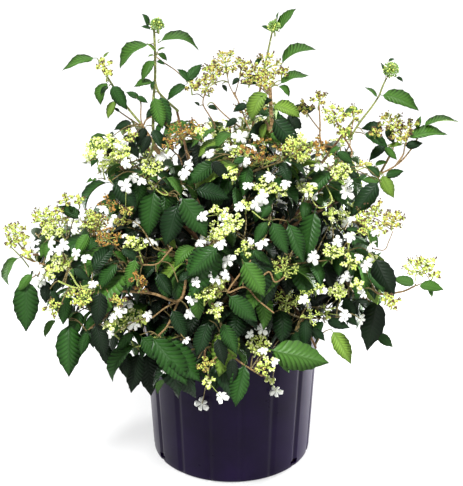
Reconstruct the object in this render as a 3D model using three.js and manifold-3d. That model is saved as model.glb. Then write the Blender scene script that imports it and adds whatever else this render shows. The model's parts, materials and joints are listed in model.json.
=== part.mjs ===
// A doublefile viburnum in flower, in its black nursery pot.
// Millimetres, +Z up, origin at the centre of the pot's underside, front towards -Y.
//
// The pot holds a disc of potting mix. A short main stem stands on the mix and carries nine wing
// boughs all round and four crest boughs above them. Skirt boughs fork low from the wings, and tall
// leaders rise from the crests. Each limb ends in one mass: a stem that grows side twigs in opposite
// pairs, with leaf pairs at the twigs' nodes and a flat flower head above each tip.
// A mass keeps to its own cell, the part of the crown that is nearer to its site than to any other.

import * as THREE from "three";
import { mergeVertices } from "three/addons/utils/BufferGeometryUtils.js";
import Module from "manifold-3d";

const wasm = await Module();
wasm.setup();

// Driving dimensions

const POT = {
  height: 240,
  footRadius: 122,
  shoulderRadius: 133, // top of the pleated wall
  collarRadius: 137,
  rimRadius: 141,
  wall: 3,
  floor: 4,
  chamfer: 5,
  shoulderHeight: 206,
  rimLip: 9, // height of the rolled rim
  roundSides: 32,
  panels: 16,
  pleatDepth: 2.2,
  pleatWidth: 0.14, // share of a panel
  firstPleat: 6.8, // degrees to the right of the front
};
const DRAIN = { radius: 8, height: 7, sides: 8, pleats: [-3, 2, 5, 10] };
const MIX = { top: 216, clearance: 0.4, sides: 32 };
const TRUNK = { height: 78, footRadius: 14, flare: 22, topRadius: 8.5, lean: [7, -4], sides: 10 };
const JOINT_GAP = 0.3; // between two solids that touch on the real plant
const MERGE = 1e-3; // points this close are one point
const CELL_MARGIN = 0.8; // kept from a cell's wall by all that grows in it
const LIMB_MARGIN = 3.5; // kept from the boughs by leaves and twigs
const TRIES = 12;
const STEEP = 0.75; // rise of a stem whose leaves have a ridge above instead of a keel below
const FORK_ROOM = 0.1; // share of a limb kept bare beyond a fork
const LEAF_SPACING = 5; // kept between the sample points of two leaves or heads
const POT_MARGIN = 6;
const TWIG = { root: 3, tip: 1.7 };
const PEDUNCLE = 1.1; // radius of a flower head's stalk
const STEM_CORE = 1; // radius about a mass's stem that nothing crosses
const LEAF = { breadth: 0.56, thickness: 1.7, sections: [0.26, 0.62] };
const HEAD = { dome: 0.3, sides: 8, florets: 1.5 }; // dome height and reach of the florets, as shares of its radius

// What each kind of limb is like. Lengths in mm, angles in degrees.
//   root, tip: bough radius; bare: share of the limb with no foliage; arch: rise of its middle;
//   nodes: along the stem; twig, leaf: lengths; droop: bend of a leaf; head, stalk: a flower head's radius and stalk
//   hub: share of the limb and rise above it of the site that its cell surrounds
const FORMS = {
  wing: { root: 4.2, tip: 1.9, bare: 0.3, arch: 50, nodes: 5, twig: 56, leaf: 84, droop: 84, head: 26, stalk: 34, hub: [0.7, 24] },
  skirt: { root: 3.0, tip: 1.6, bare: 0.36, arch: 34, nodes: 4, twig: 48, leaf: 84, droop: 84, head: 25, stalk: 26, hub: [0.76, -34] },
  crest: { root: 3.3, tip: 1.7, bare: 0.36, arch: 10, nodes: 5, twig: 54, leaf: 78, droop: 80, head: 26, stalk: 36, hub: [0.8, 0] },
  spray: { root: 2.5, tip: 1.3, bare: 0.4, arch: 14, nodes: 1, twig: 46, leaf: 56, droop: 60, head: 22, stalk: 30, hub: [0.9, 0] },
  leader: { root: 2.5, tip: 1.3, bare: 0.4, arch: 14, nodes: 3, twig: 0, leaf: 56, droop: 60, head: 12, stalk: 8, hub: [0.9, 0] },
};

// The limbs: name, parent, where on it, form, azimuth from the front (right is positive), reach from
// the axis, height of the tip, and the kinds of flower head, dealt to the twigs in turn, the tip's last:
// F fresh with white florets, G golden, S spent, B in bud, a dot none.
const LIMBS = [
  ["wing_left", "trunk", 0.36, "wing", -84, 296, 340, "GF.FFGG"],
  ["wing_front_left", "trunk", 0.62, "wing", -48, 248, 384, "FSF.FGF"],
  ["front_left", "trunk", 0.36, "wing", -17, 204, 402, "F.FF.FF"],
  ["front_right", "trunk", 0.62, "wing", 20, 208, 394, "FF.F.FF"],
  ["front_low", "trunk", 0.16, "skirt", -6, 166, 322, "FF.F.FF"],
  ["wing_front_right", "trunk", 0.36, "wing", 54, 238, 376, "F.FF.FF"],
  ["wing_right", "trunk", 0.62, "wing", 86, 276, 326, "FGF.F.G"],
  ["wing_back_right", "trunk", 0.36, "wing", 128, 262, 376, "FGF.F.F"],
  ["wing_back", "trunk", 0.62, "wing", 172, 250, 390, "FF.SF.F"],
  ["wing_back_left", "trunk", 0.5, "wing", -130, 262, 380, ".FG.FFF"],
  ["crest_left", "trunk", 1, "crest", -62, 178, 500, "FFGF.FF"],
  ["crest_front", "trunk", 1, "crest", 8, 100, 508, "SFSF.FF"],
  ["crest_right", "trunk", 1, "crest", 70, 172, 492, "GFSF.FG"],
  ["crest_back", "trunk", 1, "crest", -178, 122, 524, "FGF.FSF"],
  ["leader_left_outer", "crest_left", 0.36, "leader", -88, 188, 622, "G"],
  ["leader_left", "crest_left", 0.24, "leader", -88, 107, 682, "B"],
  ["leader_middle", "crest_front", 0.32, "spray", 60, 20, 586, "GFG"],
  ["leader_right", "crest_back", 0.3, "leader", 106, 64, 684, "B"],
  ["leader_right_outer", "crest_right", 0.24, "leader", 88, 222, 608, "B"],
  ["leader_far_right", "crest_right", 0.38, "spray", 80, 290, 496, "G.G"],
  ["skirt_front", "front_left", 0.3, "skirt", -10, 218, 268, "F..S.F.FF"],
  ["skirt_front_right", "wing_front_right", 0.3, "skirt", 32, 224, 268, ".F.F.FF"],
  ["skirt_right", "wing_right", 0.3, "skirt", 74, 256, 268, "F.F..FF"],
  ["skirt_back_right", "wing_back_right", 0.3, "skirt", 114, 258, 268, ".F.F.FF"],
  ["skirt_back", "wing_back", 0.3, "skirt", 156, 250, 268, "F..F.FG"],
  ["skirt_back_left", "wing_back_left", 0.3, "skirt", -154, 252, 268, ".F.F.FF"],
  ["skirt_left_back", "wing_left", 0.3, "skirt", -106, 258, 268, "G.F..FF"],
  ["skirt_front_left", "wing_front_left", 0.3, "skirt", -56, 250, 268, "F.FG.FF"],
];

const COLOURS = {
  pot: 0x2b2735,
  mix: 0x2a1d14,
  bark: 0x8a5a35,
  foliage: 0x2f5d2c,
  leader: 0x5c8f38,
};

const UP = new THREE.Vector3(0, 0, 1);
const vec = (x, y, z) => new THREE.Vector3(x, y, z);
const radians = THREE.MathUtils.degToRad;

// A place by azimuth from the front, distance from the axis and height.
function place(azimuth, reach, height) {
  return vec(reach * Math.sin(radians(azimuth)), -reach * Math.cos(radians(azimuth)), height);
}

// A seeded generator of numbers from 0 to 1.
function seeded(seed) {
  let state = seed >>> 0;
  return () => {
    state = (state + 0x6d2b79f5) >>> 0;
    let t = state;
    t = Math.imul(t ^ (t >>> 15), t | 1);
    t ^= t + Math.imul(t ^ (t >>> 7), t | 61);
    return ((t ^ (t >>> 14)) >>> 0) / 4294967296;
  };
}

// Solids

function solidOf(geometry, tolerance = 1e-4) {
  const bare = geometry.index ? geometry.toNonIndexed() : geometry.clone();
  bare.deleteAttribute("normal");
  bare.deleteAttribute("uv");
  const merged = mergeVertices(bare, tolerance);
  return new wasm.Manifold(
    new wasm.Mesh({
      numProp: 3,
      vertProperties: merged.attributes.position.array,
      triVerts: new Uint32Array(merged.index.array),
    }),
  );
}

function geometryOf(solid) {
  const { vertProperties, triVerts, numProp, numVert } = solid.getMesh();
  const positions = new Float32Array(numVert * 3);
  for (let i = 0; i < numVert; i++) positions.set(vertProperties.subarray(i * numProp, i * numProp + 3), i * 3);
  const geometry = new THREE.BufferGeometry();
  geometry.setAttribute("position", new THREE.BufferAttribute(positions, 3));
  geometry.setIndex(new THREE.BufferAttribute(new Uint32Array(triVerts), 1));
  geometry.computeVertexNormals();
  return geometry;
}

// The largest connected piece, which drops loose scraps and fills sealed hollows.
function largest(solid) {
  return solid.decompose().reduce((best, piece) => (piece.volume() > best.volume() ? piece : best));
}

// The largest piece once more after its points are rounded, which can pinch off a hollow.
const mainBody = (solid) => largest(solidOf(geometryOf(largest(solid).simplify(MERGE)), MERGE));

// A body under construction is a list of points and of faces. A ring is a list of its points, the same
// way round as the arm that grows from it, seen from ahead. A ring of one point is a pole.
const newBody = () => ({ points: [], faces: [] });

function addRing(body, points) {
  const first = body.points.length;
  body.points.push(...points);
  return points.map((_, i) => first + i);
}

// Closes a ring flat, as the body's end or, turned round, as its start.
function closeRing(body, ring, turned = false) {
  for (let i = 1; i + 1 < ring.length; i++) {
    body.faces.push(ring[0], ...(turned ? [ring[i + 1], ring[i]] : [ring[i], ring[i + 1]]));
  }
}

function startRing(body, points) {
  const ring = addRing(body, points);
  closeRing(body, ring, true);
  return ring;
}

// Grows the surface from a ring to new points, turned so that the two rings match best.
function extend(body, ring, points) {
  const a = ring.length;
  const b = points.length;
  const misfit = (k) =>
    ring.reduce((sum, from, i) => sum + body.points[from].distanceTo(points[(k + Math.round((i * b) / a)) % b]), 0);
  const turns = points.map((_, k) => k);
  const best = turns.reduce((least, k) => (misfit(k) < misfit(least) - 1e-6 ? k : least), 0);
  const added = addRing(body, points);
  const next = turns.map((k) => added[(k + best) % b]);
  const lastA = a === 1 ? 0 : a;
  const lastB = b === 1 ? 0 : b;
  // Between rings alike, each quad is split where that makes it bulge outwards.
  const bulges = (i, j) => {
    const [p, q, r, s] = [ring[i % a], ring[(i + 1) % a], next[j % b], next[(j + 1) % b]].map((k) => body.points[k]);
    const normal = new THREE.Vector3().crossVectors(q.clone().sub(p), r.clone().sub(p));
    return normal.dot(s.clone().sub(p)) < 0;
  };
  const ringFirst = (i, j) => (a === b && i === j ? bulges(i, j) : (i + 1) / a <= (j + 1) / b);
  for (let i = 0, j = 0; i < lastA || j < lastB; ) {
    if (j >= lastB || (i < lastA && (i < j || ringFirst(i, j)))) {
      body.faces.push(ring[i % a], ring[(i + 1) % a], next[j % b]);
      i++;
    } else {
      body.faces.push(ring[i % a], next[(j + 1) % b], next[j % b]);
      j++;
    }
  }
  return added;
}

// Puts one point ahead of a three-sided ring, which leaves three open rings to grow from.
function fork(body, [a, b, c], point) {
  const [p] = addRing(body, [point]);
  return [[a, b, p], [b, c, p], [c, a, p]];
}

function bodySolid(body) {
  const geometry = new THREE.BufferGeometry().setFromPoints(body.points);
  geometry.setIndex(body.faces);
  return solidOf(geometry);
}

// A closed surface through rings of points. An end ring of more than one point is closed flat.
function loft(rings) {
  const body = newBody();
  let ring = startRing(body, rings[0]);
  for (const points of rings.slice(1)) ring = extend(body, ring, points);
  closeRing(body, ring);
  return bodySolid(body);
}

// A ring of points round an axis. out(i) gives each point's distance from the centre.
function ringRound(centre, u, v, sides, out) {
  return Array.from({ length: sides }, (_, i) => {
    const turn = (2 * Math.PI * i) / sides;
    const radius = out(i);
    return centre.clone().addScaledVector(u, radius * Math.cos(turn)).addScaledVector(v, radius * Math.sin(turn));
  });
}

// Two directions square to an axis and to each other.
function squareTo(axis) {
  const u = new THREE.Vector3().crossVectors(Math.abs(axis.z) > 0.9 ? vec(1, 0, 0) : UP, axis).normalize();
  return { u, v: new THREE.Vector3().crossVectors(axis, u) };
}

// A straight taper from a to b.
function straightTaper(a, b, rootRadius, tipRadius, sides) {
  const { u, v } = squareTo(b.clone().sub(a).normalize());
  return loft([ringRound(a, u, v, sides, () => rootRadius), ringRound(b, u, v, sides, () => tipRadius)]);
}

// A round bar along a path, tapering from one radius to the other. path(t) gives a point for t from 0 to 1.
function taperedBar(path, rootRadius, tipRadius, sides, steps) {
  const bar = new THREE.CylinderGeometry(tipRadius, rootRadius, 1, sides, steps);
  const at = bar.attributes.position;
  const frames = [];
  let across = null;
  for (let i = 0; i <= steps; i++) {
    const t = i / steps;
    const along = path(Math.min(1, t + 0.02)).sub(path(Math.max(0, t - 0.02))).normalize();
    if (!across) across = squareTo(along).u;
    across = across.clone().addScaledVector(along, -across.dot(along)).normalize();
    frames.push({ centre: path(t), across, beside: new THREE.Vector3().crossVectors(along, across) });
  }
  for (let i = 0; i < at.count; i++) {
    const { centre, across: u, beside: v } = frames[Math.round((at.getY(i) + 0.5) * steps)];
    const p = centre.clone().addScaledVector(u, at.getX(i)).addScaledVector(v, -at.getZ(i));
    at.setXYZ(i, p.x, p.y, p.z);
  }
  return bar;
}

// The pot

// A ring of the pot's wall, counted from the right: the outline of flat panels with a pleat at each joint.
function potRing(radius, height) {
  const points = [];
  const step = 360 / POT.panels;
  for (let k = 0; k < POT.panels; k++) {
    const joint = POT.firstPleat + (k + POT.panels / 4) * step;
    const half = (step * POT.pleatWidth) / 2;
    points.push(place(joint - half, radius, height));
    points.push(place(joint, radius - POT.pleatDepth, height));
    points.push(place(joint + half, radius, height));
  }
  return points;
}

// The outer radius of the pleated wall at a height.
function wallRadius(height) {
  return THREE.MathUtils.mapLinear(height, 0, POT.shoulderHeight, POT.footRadius, POT.shoulderRadius);
}

function innerRadius(height) {
  return wallRadius(Math.min(height, POT.shoulderHeight)) - POT.pleatDepth - POT.wall;
}

function makePot() {
  const { height, chamfer, shoulderHeight, collarRadius, rimRadius, rimLip, wall, floor } = POT;
  const top = height - 1.5;
  const round = (radius, z) => ringRound(vec(0, 0, z), vec(1, 0, 0), vec(0, 1, 0), POT.roundSides, () => radius);
  const shell = loft([
    [vec(0, 0, 0)],
    potRing(POT.footRadius - chamfer, 0),
    potRing(wallRadius(chamfer), chamfer),
    potRing(POT.shoulderRadius, shoulderHeight),
    round(collarRadius, shoulderHeight + 4),
    round(collarRadius + 1, height - rimLip),
    round(rimRadius, height - rimLip + 2),
    round(rimRadius, top),
    round(rimRadius - 1.5, height),
    round(collarRadius - wall, height),
    round(collarRadius - wall - 1, shoulderHeight + 6),
    round(innerRadius(shoulderHeight), shoulderHeight - 2),
    round(innerRadius(floor), floor),
    [vec(0, 0, floor)],
  ]);
  let pot = shell;
  for (const pleat of DRAIN.pleats) {
    const azimuth = POT.firstPleat + (pleat * 360) / POT.panels;
    const inside = place(azimuth, POT.footRadius - 14, DRAIN.height + 12);
    const outside = place(azimuth, POT.footRadius + 12, DRAIN.height - 8);
    pot = pot.subtract(straightTaper(inside, outside, DRAIN.radius, DRAIN.radius, DRAIN.sides));
  }
  return geometryOf(mainBody(pot));
}

function makeMix() {
  const bottom = POT.floor + MIX.clearance;
  const flat = Math.cos(Math.PI / POT.panels / 2) * Math.cos(Math.PI / MIX.sides);
  const radius = (z) => innerRadius(z) * flat - MIX.clearance;
  const height = MIX.top - bottom;
  const disc = new THREE.CylinderGeometry(radius(POT.shoulderHeight - 2), radius(bottom), height, MIX.sides);
  return disc.rotateX(Math.PI / 2).translate(0, 0, bottom + height / 2);
}

// Limbs

const GROUND = MIX.top + JOINT_GAP;

const trunkPath = (t) =>
  vec(TRUNK.lean[0] * t * t, TRUNK.lean[1] * t, GROUND + TRUNK.height * t);

function trunkRadius(t) {
  const taper = THREE.MathUtils.lerp(TRUNK.footRadius, TRUNK.topRadius, t);
  return taper + (TRUNK.flare - TRUNK.footRadius) * Math.exp(-t * 9);
}

// The main stem, with its flare, and grown out all round by extra.
function trunkSolid(extra) {
  const steps = 6;
  const bar = new THREE.CylinderGeometry(1, 1, 1, TRUNK.sides, steps);
  const at = bar.attributes.position;
  for (let i = 0; i < at.count; i++) {
    const t = Math.round((at.getY(i) + 0.5) * steps) / steps;
    const centre = trunkPath(t);
    const radius = trunkRadius(t) + extra;
    at.setXYZ(i, centre.x + at.getX(i) * radius, centre.y - at.getZ(i) * radius, centre.z + (t === 1 ? extra : 0));
  }
  return solidOf(bar);
}

function makeLimb([name, parentName, at, formName, azimuth, reach, height, heads], index, limbs) {
  const form = FORMS[formName];
  const parent = limbs.get(parentName);
  const tip = place(azimuth, reach, height);
  const onTop = parentName === "trunk" && at === 1;
  const start = parent ? parent.path(at) : trunkPath(at);
  // Crest boughs leave the trunk's top side by side.
  if (onTop) start.add(place(azimuth, 5, -2));
  const middle = start.clone().lerp(tip, 0.45).addScaledVector(UP, form.arch);
  const curve = new THREE.QuadraticBezierCurve3(start, middle, tip);
  const rootRadius = parent ? Math.min(form.root, parent.radius(at) * 0.8) : form.root;
  return {
    name,
    index,
    parentName,
    form,
    heads,
    tip,
    path: (t) => curve.getPoint(t),
    along: (t) => curve.getTangent(t),
    radius: (t) => THREE.MathUtils.lerp(rootRadius, form.tip, t),
    site: curve.getPoint(form.hub[0]).addScaledVector(UP, form.hub[1]),
  };
}

const limbs = new Map();
LIMBS.forEach((row, index) => limbs.set(row[0], makeLimb(row, index, limbs)));

// Spaces

// The walls of a limb's cell: planes half way to the other sites.
for (const limb of limbs.values()) {
  limb.walls = [...limbs.values()]
    .filter((other) => other !== limb)
    .map((other) => {
      const normal = other.site.clone().sub(limb.site).normalize();
      return { normal, depth: normal.dot(limb.site.clone().add(other.site).multiplyScalar(0.5)) };
    });
}

const inCell = (limb, p) => limb.walls.every(({ normal, depth }) => normal.dot(p) < depth - CELL_MARGIN);

// The limb's share with no foliage: past its forks and up to where it enters its cell for good.
for (const limb of limbs.values()) {
  const forks = LIMBS.filter((row) => row[1] === limb.name).map((row) => row[2] + FORK_ROOM);
  const bare = Math.max(limb.form.bare, ...forks);
  let t = 1;
  while (t > bare && inCell(limb, limb.path(t - 0.01))) t -= 0.01;
  limb.entry = t;
}

function segmentDistance(p, a, b) {
  const ab = b.clone().sub(a);
  const t = THREE.MathUtils.clamp(p.clone().sub(a).dot(ab) / ab.lengthSq(), 0, 1);
  return p.distanceTo(a.clone().addScaledVector(ab, t));
}

const BOUGH_STEPS = 4;
const BOUGH_SIDES = 5;
for (const limb of limbs.values()) {
  limb.spine = Array.from({ length: BOUGH_STEPS + 1 }, (_, i) => limb.path((limb.entry * i) / BOUGH_STEPS));
}

// The bare bough, grown out all round by extra.
function boughSolid(limb, extra) {
  const path = (t) => limb.path(limb.entry * t);
  return solidOf(taperedBar(path, limb.radius(0) + extra, limb.radius(limb.entry) + extra, BOUGH_SIDES, BOUGH_STEPS));
}

function makeBough(limb) {
  const carrier = limb.parentName === "trunk" ? trunkSolid(JOINT_GAP) : boughSolid(limbs.get(limb.parentName), JOINT_GAP);
  return mainBody(boughSolid(limb, 0).subtract(carrier));
}

const boughs = new Map([...limbs].map(([name, limb]) => [name, makeBough(limb)]));

function clearOfLimbs(p) {
  for (const limb of limbs.values()) {
    for (let i = 0; i < BOUGH_STEPS; i++) {
      const keep = limb.radius((limb.entry * i) / BOUGH_STEPS) + LIMB_MARGIN;
      if (segmentDistance(p, limb.spine[i], limb.spine[i + 1]) < keep) return false;
    }
  }
  return segmentDistance(p, trunkPath(0), trunkPath(1)) > TRUNK.flare;
}

function clearOfPot(p) {
  const out = Math.hypot(p.x, p.y);
  if (p.z > POT.height + POT_MARGIN || out > POT.rimRadius + POT_MARGIN) return p.z > POT_MARGIN;
  return out < innerRadius(POT.height) - POT_MARGIN && p.z > MIX.top + POT_MARGIN;
}

const fits = (limb, points) => points.every((p) => inCell(limb, p) && clearOfPot(p) && clearOfLimbs(p));

const apart = (points, taken) => points.every((p) => taken.every((q) => p.distanceTo(q) > LEAF_SPACING));

// What grows in a mass

// A leaf is a blade that bends down by its droop along its length. keel is 1 for a keel below, -1 for a ridge above.
function makeLeaf(base, forward, roll, length, droop, keel) {
  const ahead = forward.clone().normalize();
  const down = vec(0, 0, -1).addScaledVector(ahead, ahead.z).normalize();
  const side = new THREE.Vector3().crossVectors(ahead, down).normalize();
  const fall = down.clone().multiplyScalar(Math.cos(roll)).addScaledVector(side, Math.sin(roll));
  const beside = new THREE.Vector3().crossVectors(ahead, fall);
  const bend = radians(droop);
  return {
    base,
    ahead,
    fall,
    beside,
    length,
    bend,
    keel,
    // A point at share s of the length, out to the side by w and up from the blade by h.
    point(s, w, h) {
      const turned = Math.max(bend, 1e-3) * s;
      const reach = length / Math.max(bend, 1e-3);
      return base
        .clone()
        .addScaledVector(ahead, reach * Math.sin(turned) + h * Math.sin(turned))
        .addScaledVector(fall, reach * (1 - Math.cos(turned)) - h * Math.cos(turned))
        .addScaledVector(beside, w);
    },
  };
}

// Half the breadth of a leaf at share s of its length, as a share of its length.
function leafHalf(s) {
  return (LEAF.breadth / 2) * Math.pow(Math.sin(Math.PI * Math.pow(s, 0.82)), 0.8);
}

const LEAF_SAMPLES = [0.2, 0.34, 0.5, 0.66, 0.82, 1];

// Points of a leaf, three across at each share of its length.
function leafPoints(leaf) {
  return LEAF_SAMPLES.flatMap((s) => {
    const half = s < 1 ? leafHalf(s) * leaf.length : 2;
    return [leaf.point(s, -half, 0), leaf.point(s, 0, 1), leaf.point(s, half, 0)];
  });
}

// A leaf's sections are three-sided.
function leafSection(leaf, s) {
  const half = leafHalf(s) * leaf.length;
  return [leaf.point(s, -half, 0), leaf.point(s, 0, -LEAF.thickness * leaf.keel), leaf.point(s, half, 0)];
}

// About where a leaf has left its node.
const leafRoot = (leaf) => [leaf.point(0.05, -3.5, 1), leaf.point(0.05, 0, -2.5 * leaf.keel), leaf.point(0.05, 3.5, 1)];

// The leaf's rings the right way round, ending in its tip.
function leafRings(leaf, sections = LEAF.sections.map((s) => leafSection(leaf, s))) {
  return [...sections.map((ring) => (leaf.keel > 0 ? ring : ring.reverse())), [leaf.point(1, 0, 0)]];
}

// A flower head: a stalk from the twig's tip, a flat dome on top and florets round it.
function makeHead(foot, axis, stalk, radius, kind) {
  return { foot, axis: axis.clone().normalize(), stalk, radius, kind };
}

const headTop = (head) => head.foot.clone().addScaledVector(head.axis, head.stalk);

// Every second corner of a fresh head reaches out as a floret.
const headRim = (head, i) => head.radius * (head.kind === "F" && i % 2 ? HEAD.florets : 1);

function headPoints(head) {
  const { u, v } = squareTo(head.axis);
  const top = headTop(head);
  const rim = ringRound(top, u, v, HEAD.sides, (i) => headRim(head, i));
  return [top.clone().addScaledVector(head.axis, head.radius * HEAD.dome), head.foot.clone().lerp(top, 0.6), ...rim];
}

const axes = (axis) => Object.values(squareTo(axis));

function headRings(head) {
  const [u, v] = axes(head.axis);
  const rise = (share) => headTop(head).addScaledVector(head.axis, head.radius * share);
  return [
    ringRound(rise(-0.2), u, v, 3, () => PEDUNCLE),
    ringRound(rise(0), u, v, HEAD.sides, (i) => headRim(head, i)),
    [rise(HEAD.dome)],
  ];
}

// The first try that fits, stands apart from what the mass holds and crosses nothing, or nothing. make(k) is the k-th try.
function firstFit(limb, mass, make, pointsOf, solidFrom) {
  for (let k = 0; k < TRIES; k++) {
    const made = make(k);
    const points = pointsOf(made);
    if (!fits(limb, points) || !apart(points, mass.taken)) continue;
    const solid = solidFrom(made);
    if ([...mass.solids, ...boughs.values()].some((other) => other.intersect(solid).volume() > 0.01)) continue;
    mass.taken.push(...points);
    mass.solids.push(solid);
    return made;
  }
  return null;
}

function growLeaf(mass, limb, seed, base, forward, scale, keel) {
  const random = seeded(seed);
  return firstFit(
    limb,
    mass,
    (k) => {
      const ahead = forward.clone().applyAxisAngle(UP, (random() - 0.5) * (0.3 + 0.05 * k));
      ahead.z += (random() - 0.6) * 0.4;
      const length = limb.form.leaf * scale * (0.86 + 0.28 * random()) * (1 - 0.05 * k);
      return makeLeaf(base, ahead, (random() - 0.5) * 0.7, length, limb.form.droop * (0.7 + 0.6 * random()), keel);
    },
    leafPoints,
    (leaf) => loft(leafRings(leaf, [leafRoot(leaf), ...LEAF.sections.map((s) => leafSection(leaf, s))])),
  );
}

// Two opposite leaves at a node, the right one first. steep is how steeply the stem or twig rises there.
function growPair(mass, limb, seed, base, along, scale, steep = along.z) {
  const side = new THREE.Vector3().crossVectors(along, UP).normalize();
  return [1, -1].map((sign) => {
    const forward = along.clone().multiplyScalar(0.5).addScaledVector(side, sign * 0.85);
    return growLeaf(mass, limb, seed + sign, base, forward, scale, steep > STEEP ? -1 : 1);
  });
}

function growHead(mass, limb, seed, foot, outward, kind) {
  if (!kind || kind === ".") return null;
  const random = seeded(seed);
  return firstFit(
    limb,
    mass,
    (k) => {
      const axis = outward.clone().multiplyScalar(0.5 * random()).addScaledVector(UP, 1);
      axis.x += (random() - 0.5) * 0.12 * (k + 2);
      axis.y += (random() - 0.5) * 0.12 * (k + 2);
      const size = (0.88 + 0.24 * random()) * (1 - 0.05 * k);
      return makeHead(foot, axis, limb.form.stalk * size, limb.form.head * size, kind);
    },
    headPoints,
    (head) => loft([ringRound(head.foot.clone().lerp(headTop(head), 0.1), ...axes(head.axis), 3, () => PEDUNCLE), ...headRings(head)]),
  );
}

function growTwig(mass, limb, seed, root, direction) {
  const random = seeded(seed);
  return firstFit(
    limb,
    mass,
    (k) => {
      const ahead = direction.clone().applyAxisAngle(UP, (random() - 0.5) * (0.25 + 0.1 * k));
      ahead.z += (random() - 0.5) * 0.3;
      const reach = limb.form.twig * (0.8 + 0.4 * random()) * (1 - 0.08 * k);
      return { root, tip: root.clone().addScaledVector(ahead.normalize(), reach) };
    },
    ({ root: a, tip: b }) => [0.3, 0.55, 0.8].map((t) => a.clone().lerp(b, t)),
    ({ root: a, tip: b }) => straightTaper(a.clone().lerp(b, 0.06), b, TWIG.root, TWIG.tip, 3),
  );
}

// The kind of head on a twig: the limb's kinds but the last, over and over.
const kindOf = ({ heads }, twig) => heads[twig.order % (heads.length - 1)];

const middleOf = (twig) => twig.root.clone().lerp(twig.tip, 0.5);

const sideOf = (along) => new THREE.Vector3().crossVectors(along, UP).normalize();

// Everything that grows on one limb inside its cell: first all twigs, then the heads, then the leaves.
// A node of the stem holds its right and left arm, each a twig, a leaf or nothing.
function growMass(limb) {
  const { form, entry, heads } = limb;
  const seedOf = (kind, i) => 1000 * (limb.index + 1) + 100 * kind + 5 * i;
  const outward = vec(limb.tip.x, limb.tip.y, 0).normalize();
  const mass = { nodes: [], taken: [], solids: [] };
  for (const share of [0.25, 0.5, 0.75]) mass.taken.push(limb.path(THREE.MathUtils.lerp(entry, 1, share)));
  for (const [from, to] of [[0, 0.35], [0.35, 0.7], [0.7, 1]]) {
    const [a, b] = [from, to].map((share) => limb.path(THREE.MathUtils.lerp(entry, 1, share)));
    mass.solids.push(straightTaper(a, b, STEM_CORE, STEM_CORE, 3));
  }
  const twigs = [];
  for (let i = 0; i < form.nodes; i++) {
    const t = THREE.MathUtils.lerp(entry, 1, (i + 0.3) / (form.nodes + 0.1));
    const spare = THREE.MathUtils.lerp(entry, 1, (i + (form.twig ? 0.8 : 0.3)) / (form.nodes + 0.1));
    if (form.twig) {
      const along = limb.along(t);
      const arms = [1, -1].map((sign) => {
        const order = 2 * i + (sign > 0 ? 1 : 0);
        const lift = (order + limb.index) % 2 ? 0.15 : 0.75;
        const direction = along.clone().multiplyScalar(0.35).addScaledVector(sideOf(along), sign * 0.8);
        const twig = growTwig(mass, limb, seedOf(2, order), limb.path(t), direction.addScaledVector(UP, lift));
        if (twig) twigs.push(Object.assign(twig, { order }));
        return twig;
      });
      mass.nodes.push({ t, arms });
    }
    mass.nodes.push({ t: spare, pair: i });
  }
  for (const twig of twigs) twig.head = growHead(mass, limb, seedOf(5, twig.order), twig.tip, outward, kindOf(limb, twig));
  mass.head = growHead(mass, limb, seedOf(7, 0), limb.tip, outward, heads[heads.length - 1]);
  mass.arms = growPair(mass, limb, seedOf(6, 0), limb.tip, limb.along(0.98), form.twig ? 1 : 0.8);
  for (const twig of twigs) {
    const ahead = twig.tip.clone().sub(twig.root).setZ(0).normalize();
    twig.arms = growPair(mass, limb, seedOf(3, twig.order), twig.tip, ahead, 1);
    twig.middle = growPair(mass, limb, seedOf(4, twig.order), middleOf(twig), ahead, 0.9);
  }
  for (const node of mass.nodes) {
    if (node.pair === undefined) continue;
    const along = limb.along(node.t).setZ(0).normalize();
    if (!form.twig && node.pair % 2) along.applyAxisAngle(UP, 1.3);
    node.arms = growPair(mass, limb, seedOf(1, node.pair), limb.path(node.t), along, 1, limb.along(node.t).z);
    node.side = sideOf(along);
  }
  return mass;
}

// A three-sided ring square to a direction, with one corner up or, turned over, down. side points to its right.
function armRing(centre, along, radius, turnedOver, side = sideOf(along)) {
  const up = new THREE.Vector3().crossVectors(side, along).normalize();
  const right = new THREE.Vector3().crossVectors(along, up);
  const turns = turnedOver ? [-60, 60, 180] : [0, 120, 240];
  return turns.map((turn) =>
    centre
      .clone()
      .addScaledVector(up, radius * Math.cos(radians(turn)))
      .addScaledVector(right, radius * Math.sin(radians(turn))),
  );
}

// Grows a leaf, a twig with its own head and leaves, or nothing from an open ring.
function addArm(body, ring, arm) {
  if (!arm) {
    closeRing(body, ring);
  } else if (arm.tip) {
    const along = arm.tip.clone().sub(arm.root).normalize();
    const ahead = addNode(body, ring, middleOf(arm), along, TWIG.tip, arm.middle);
    addEnd(body, ahead, arm.tip, along, TWIG.tip, arm);
  } else {
    leafRings(arm).reduce((last, points) => extend(body, last, points), ring);
  }
}

// A node part way along a stem or twig, with an arm on either side. Gives the ring ahead of it.
function addNode(body, ring, centre, along, radius, arms, side = sideOf(along)) {
  const up = new THREE.Vector3().crossVectors(side, along).normalize();
  const point = centre.clone().addScaledVector(along, 1.6 * radius).addScaledVector(up, radius);
  const [right, ahead, left] = fork(body, extend(body, ring, armRing(centre, along, radius, false, side)), point);
  addArm(body, right, arms[0]);
  addArm(body, left, arms[1]);
  return ahead;
}

// The end of a stem or twig: a head above, a leaf on either side.
function addEnd(body, ring, tip, along, radius, { head, arms }) {
  const end = extend(body, ring, armRing(tip, along, radius, true));
  const [top, right, left] = fork(body, end, tip.clone().addScaledVector(along, radius).addScaledVector(UP, radius / 2));
  if (head) headRings(head).reduce((last, points) => extend(body, last, points), top);
  else closeRing(body, top);
  addArm(body, right, arms[0]);
  addArm(body, left, arms[1]);
}

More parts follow.
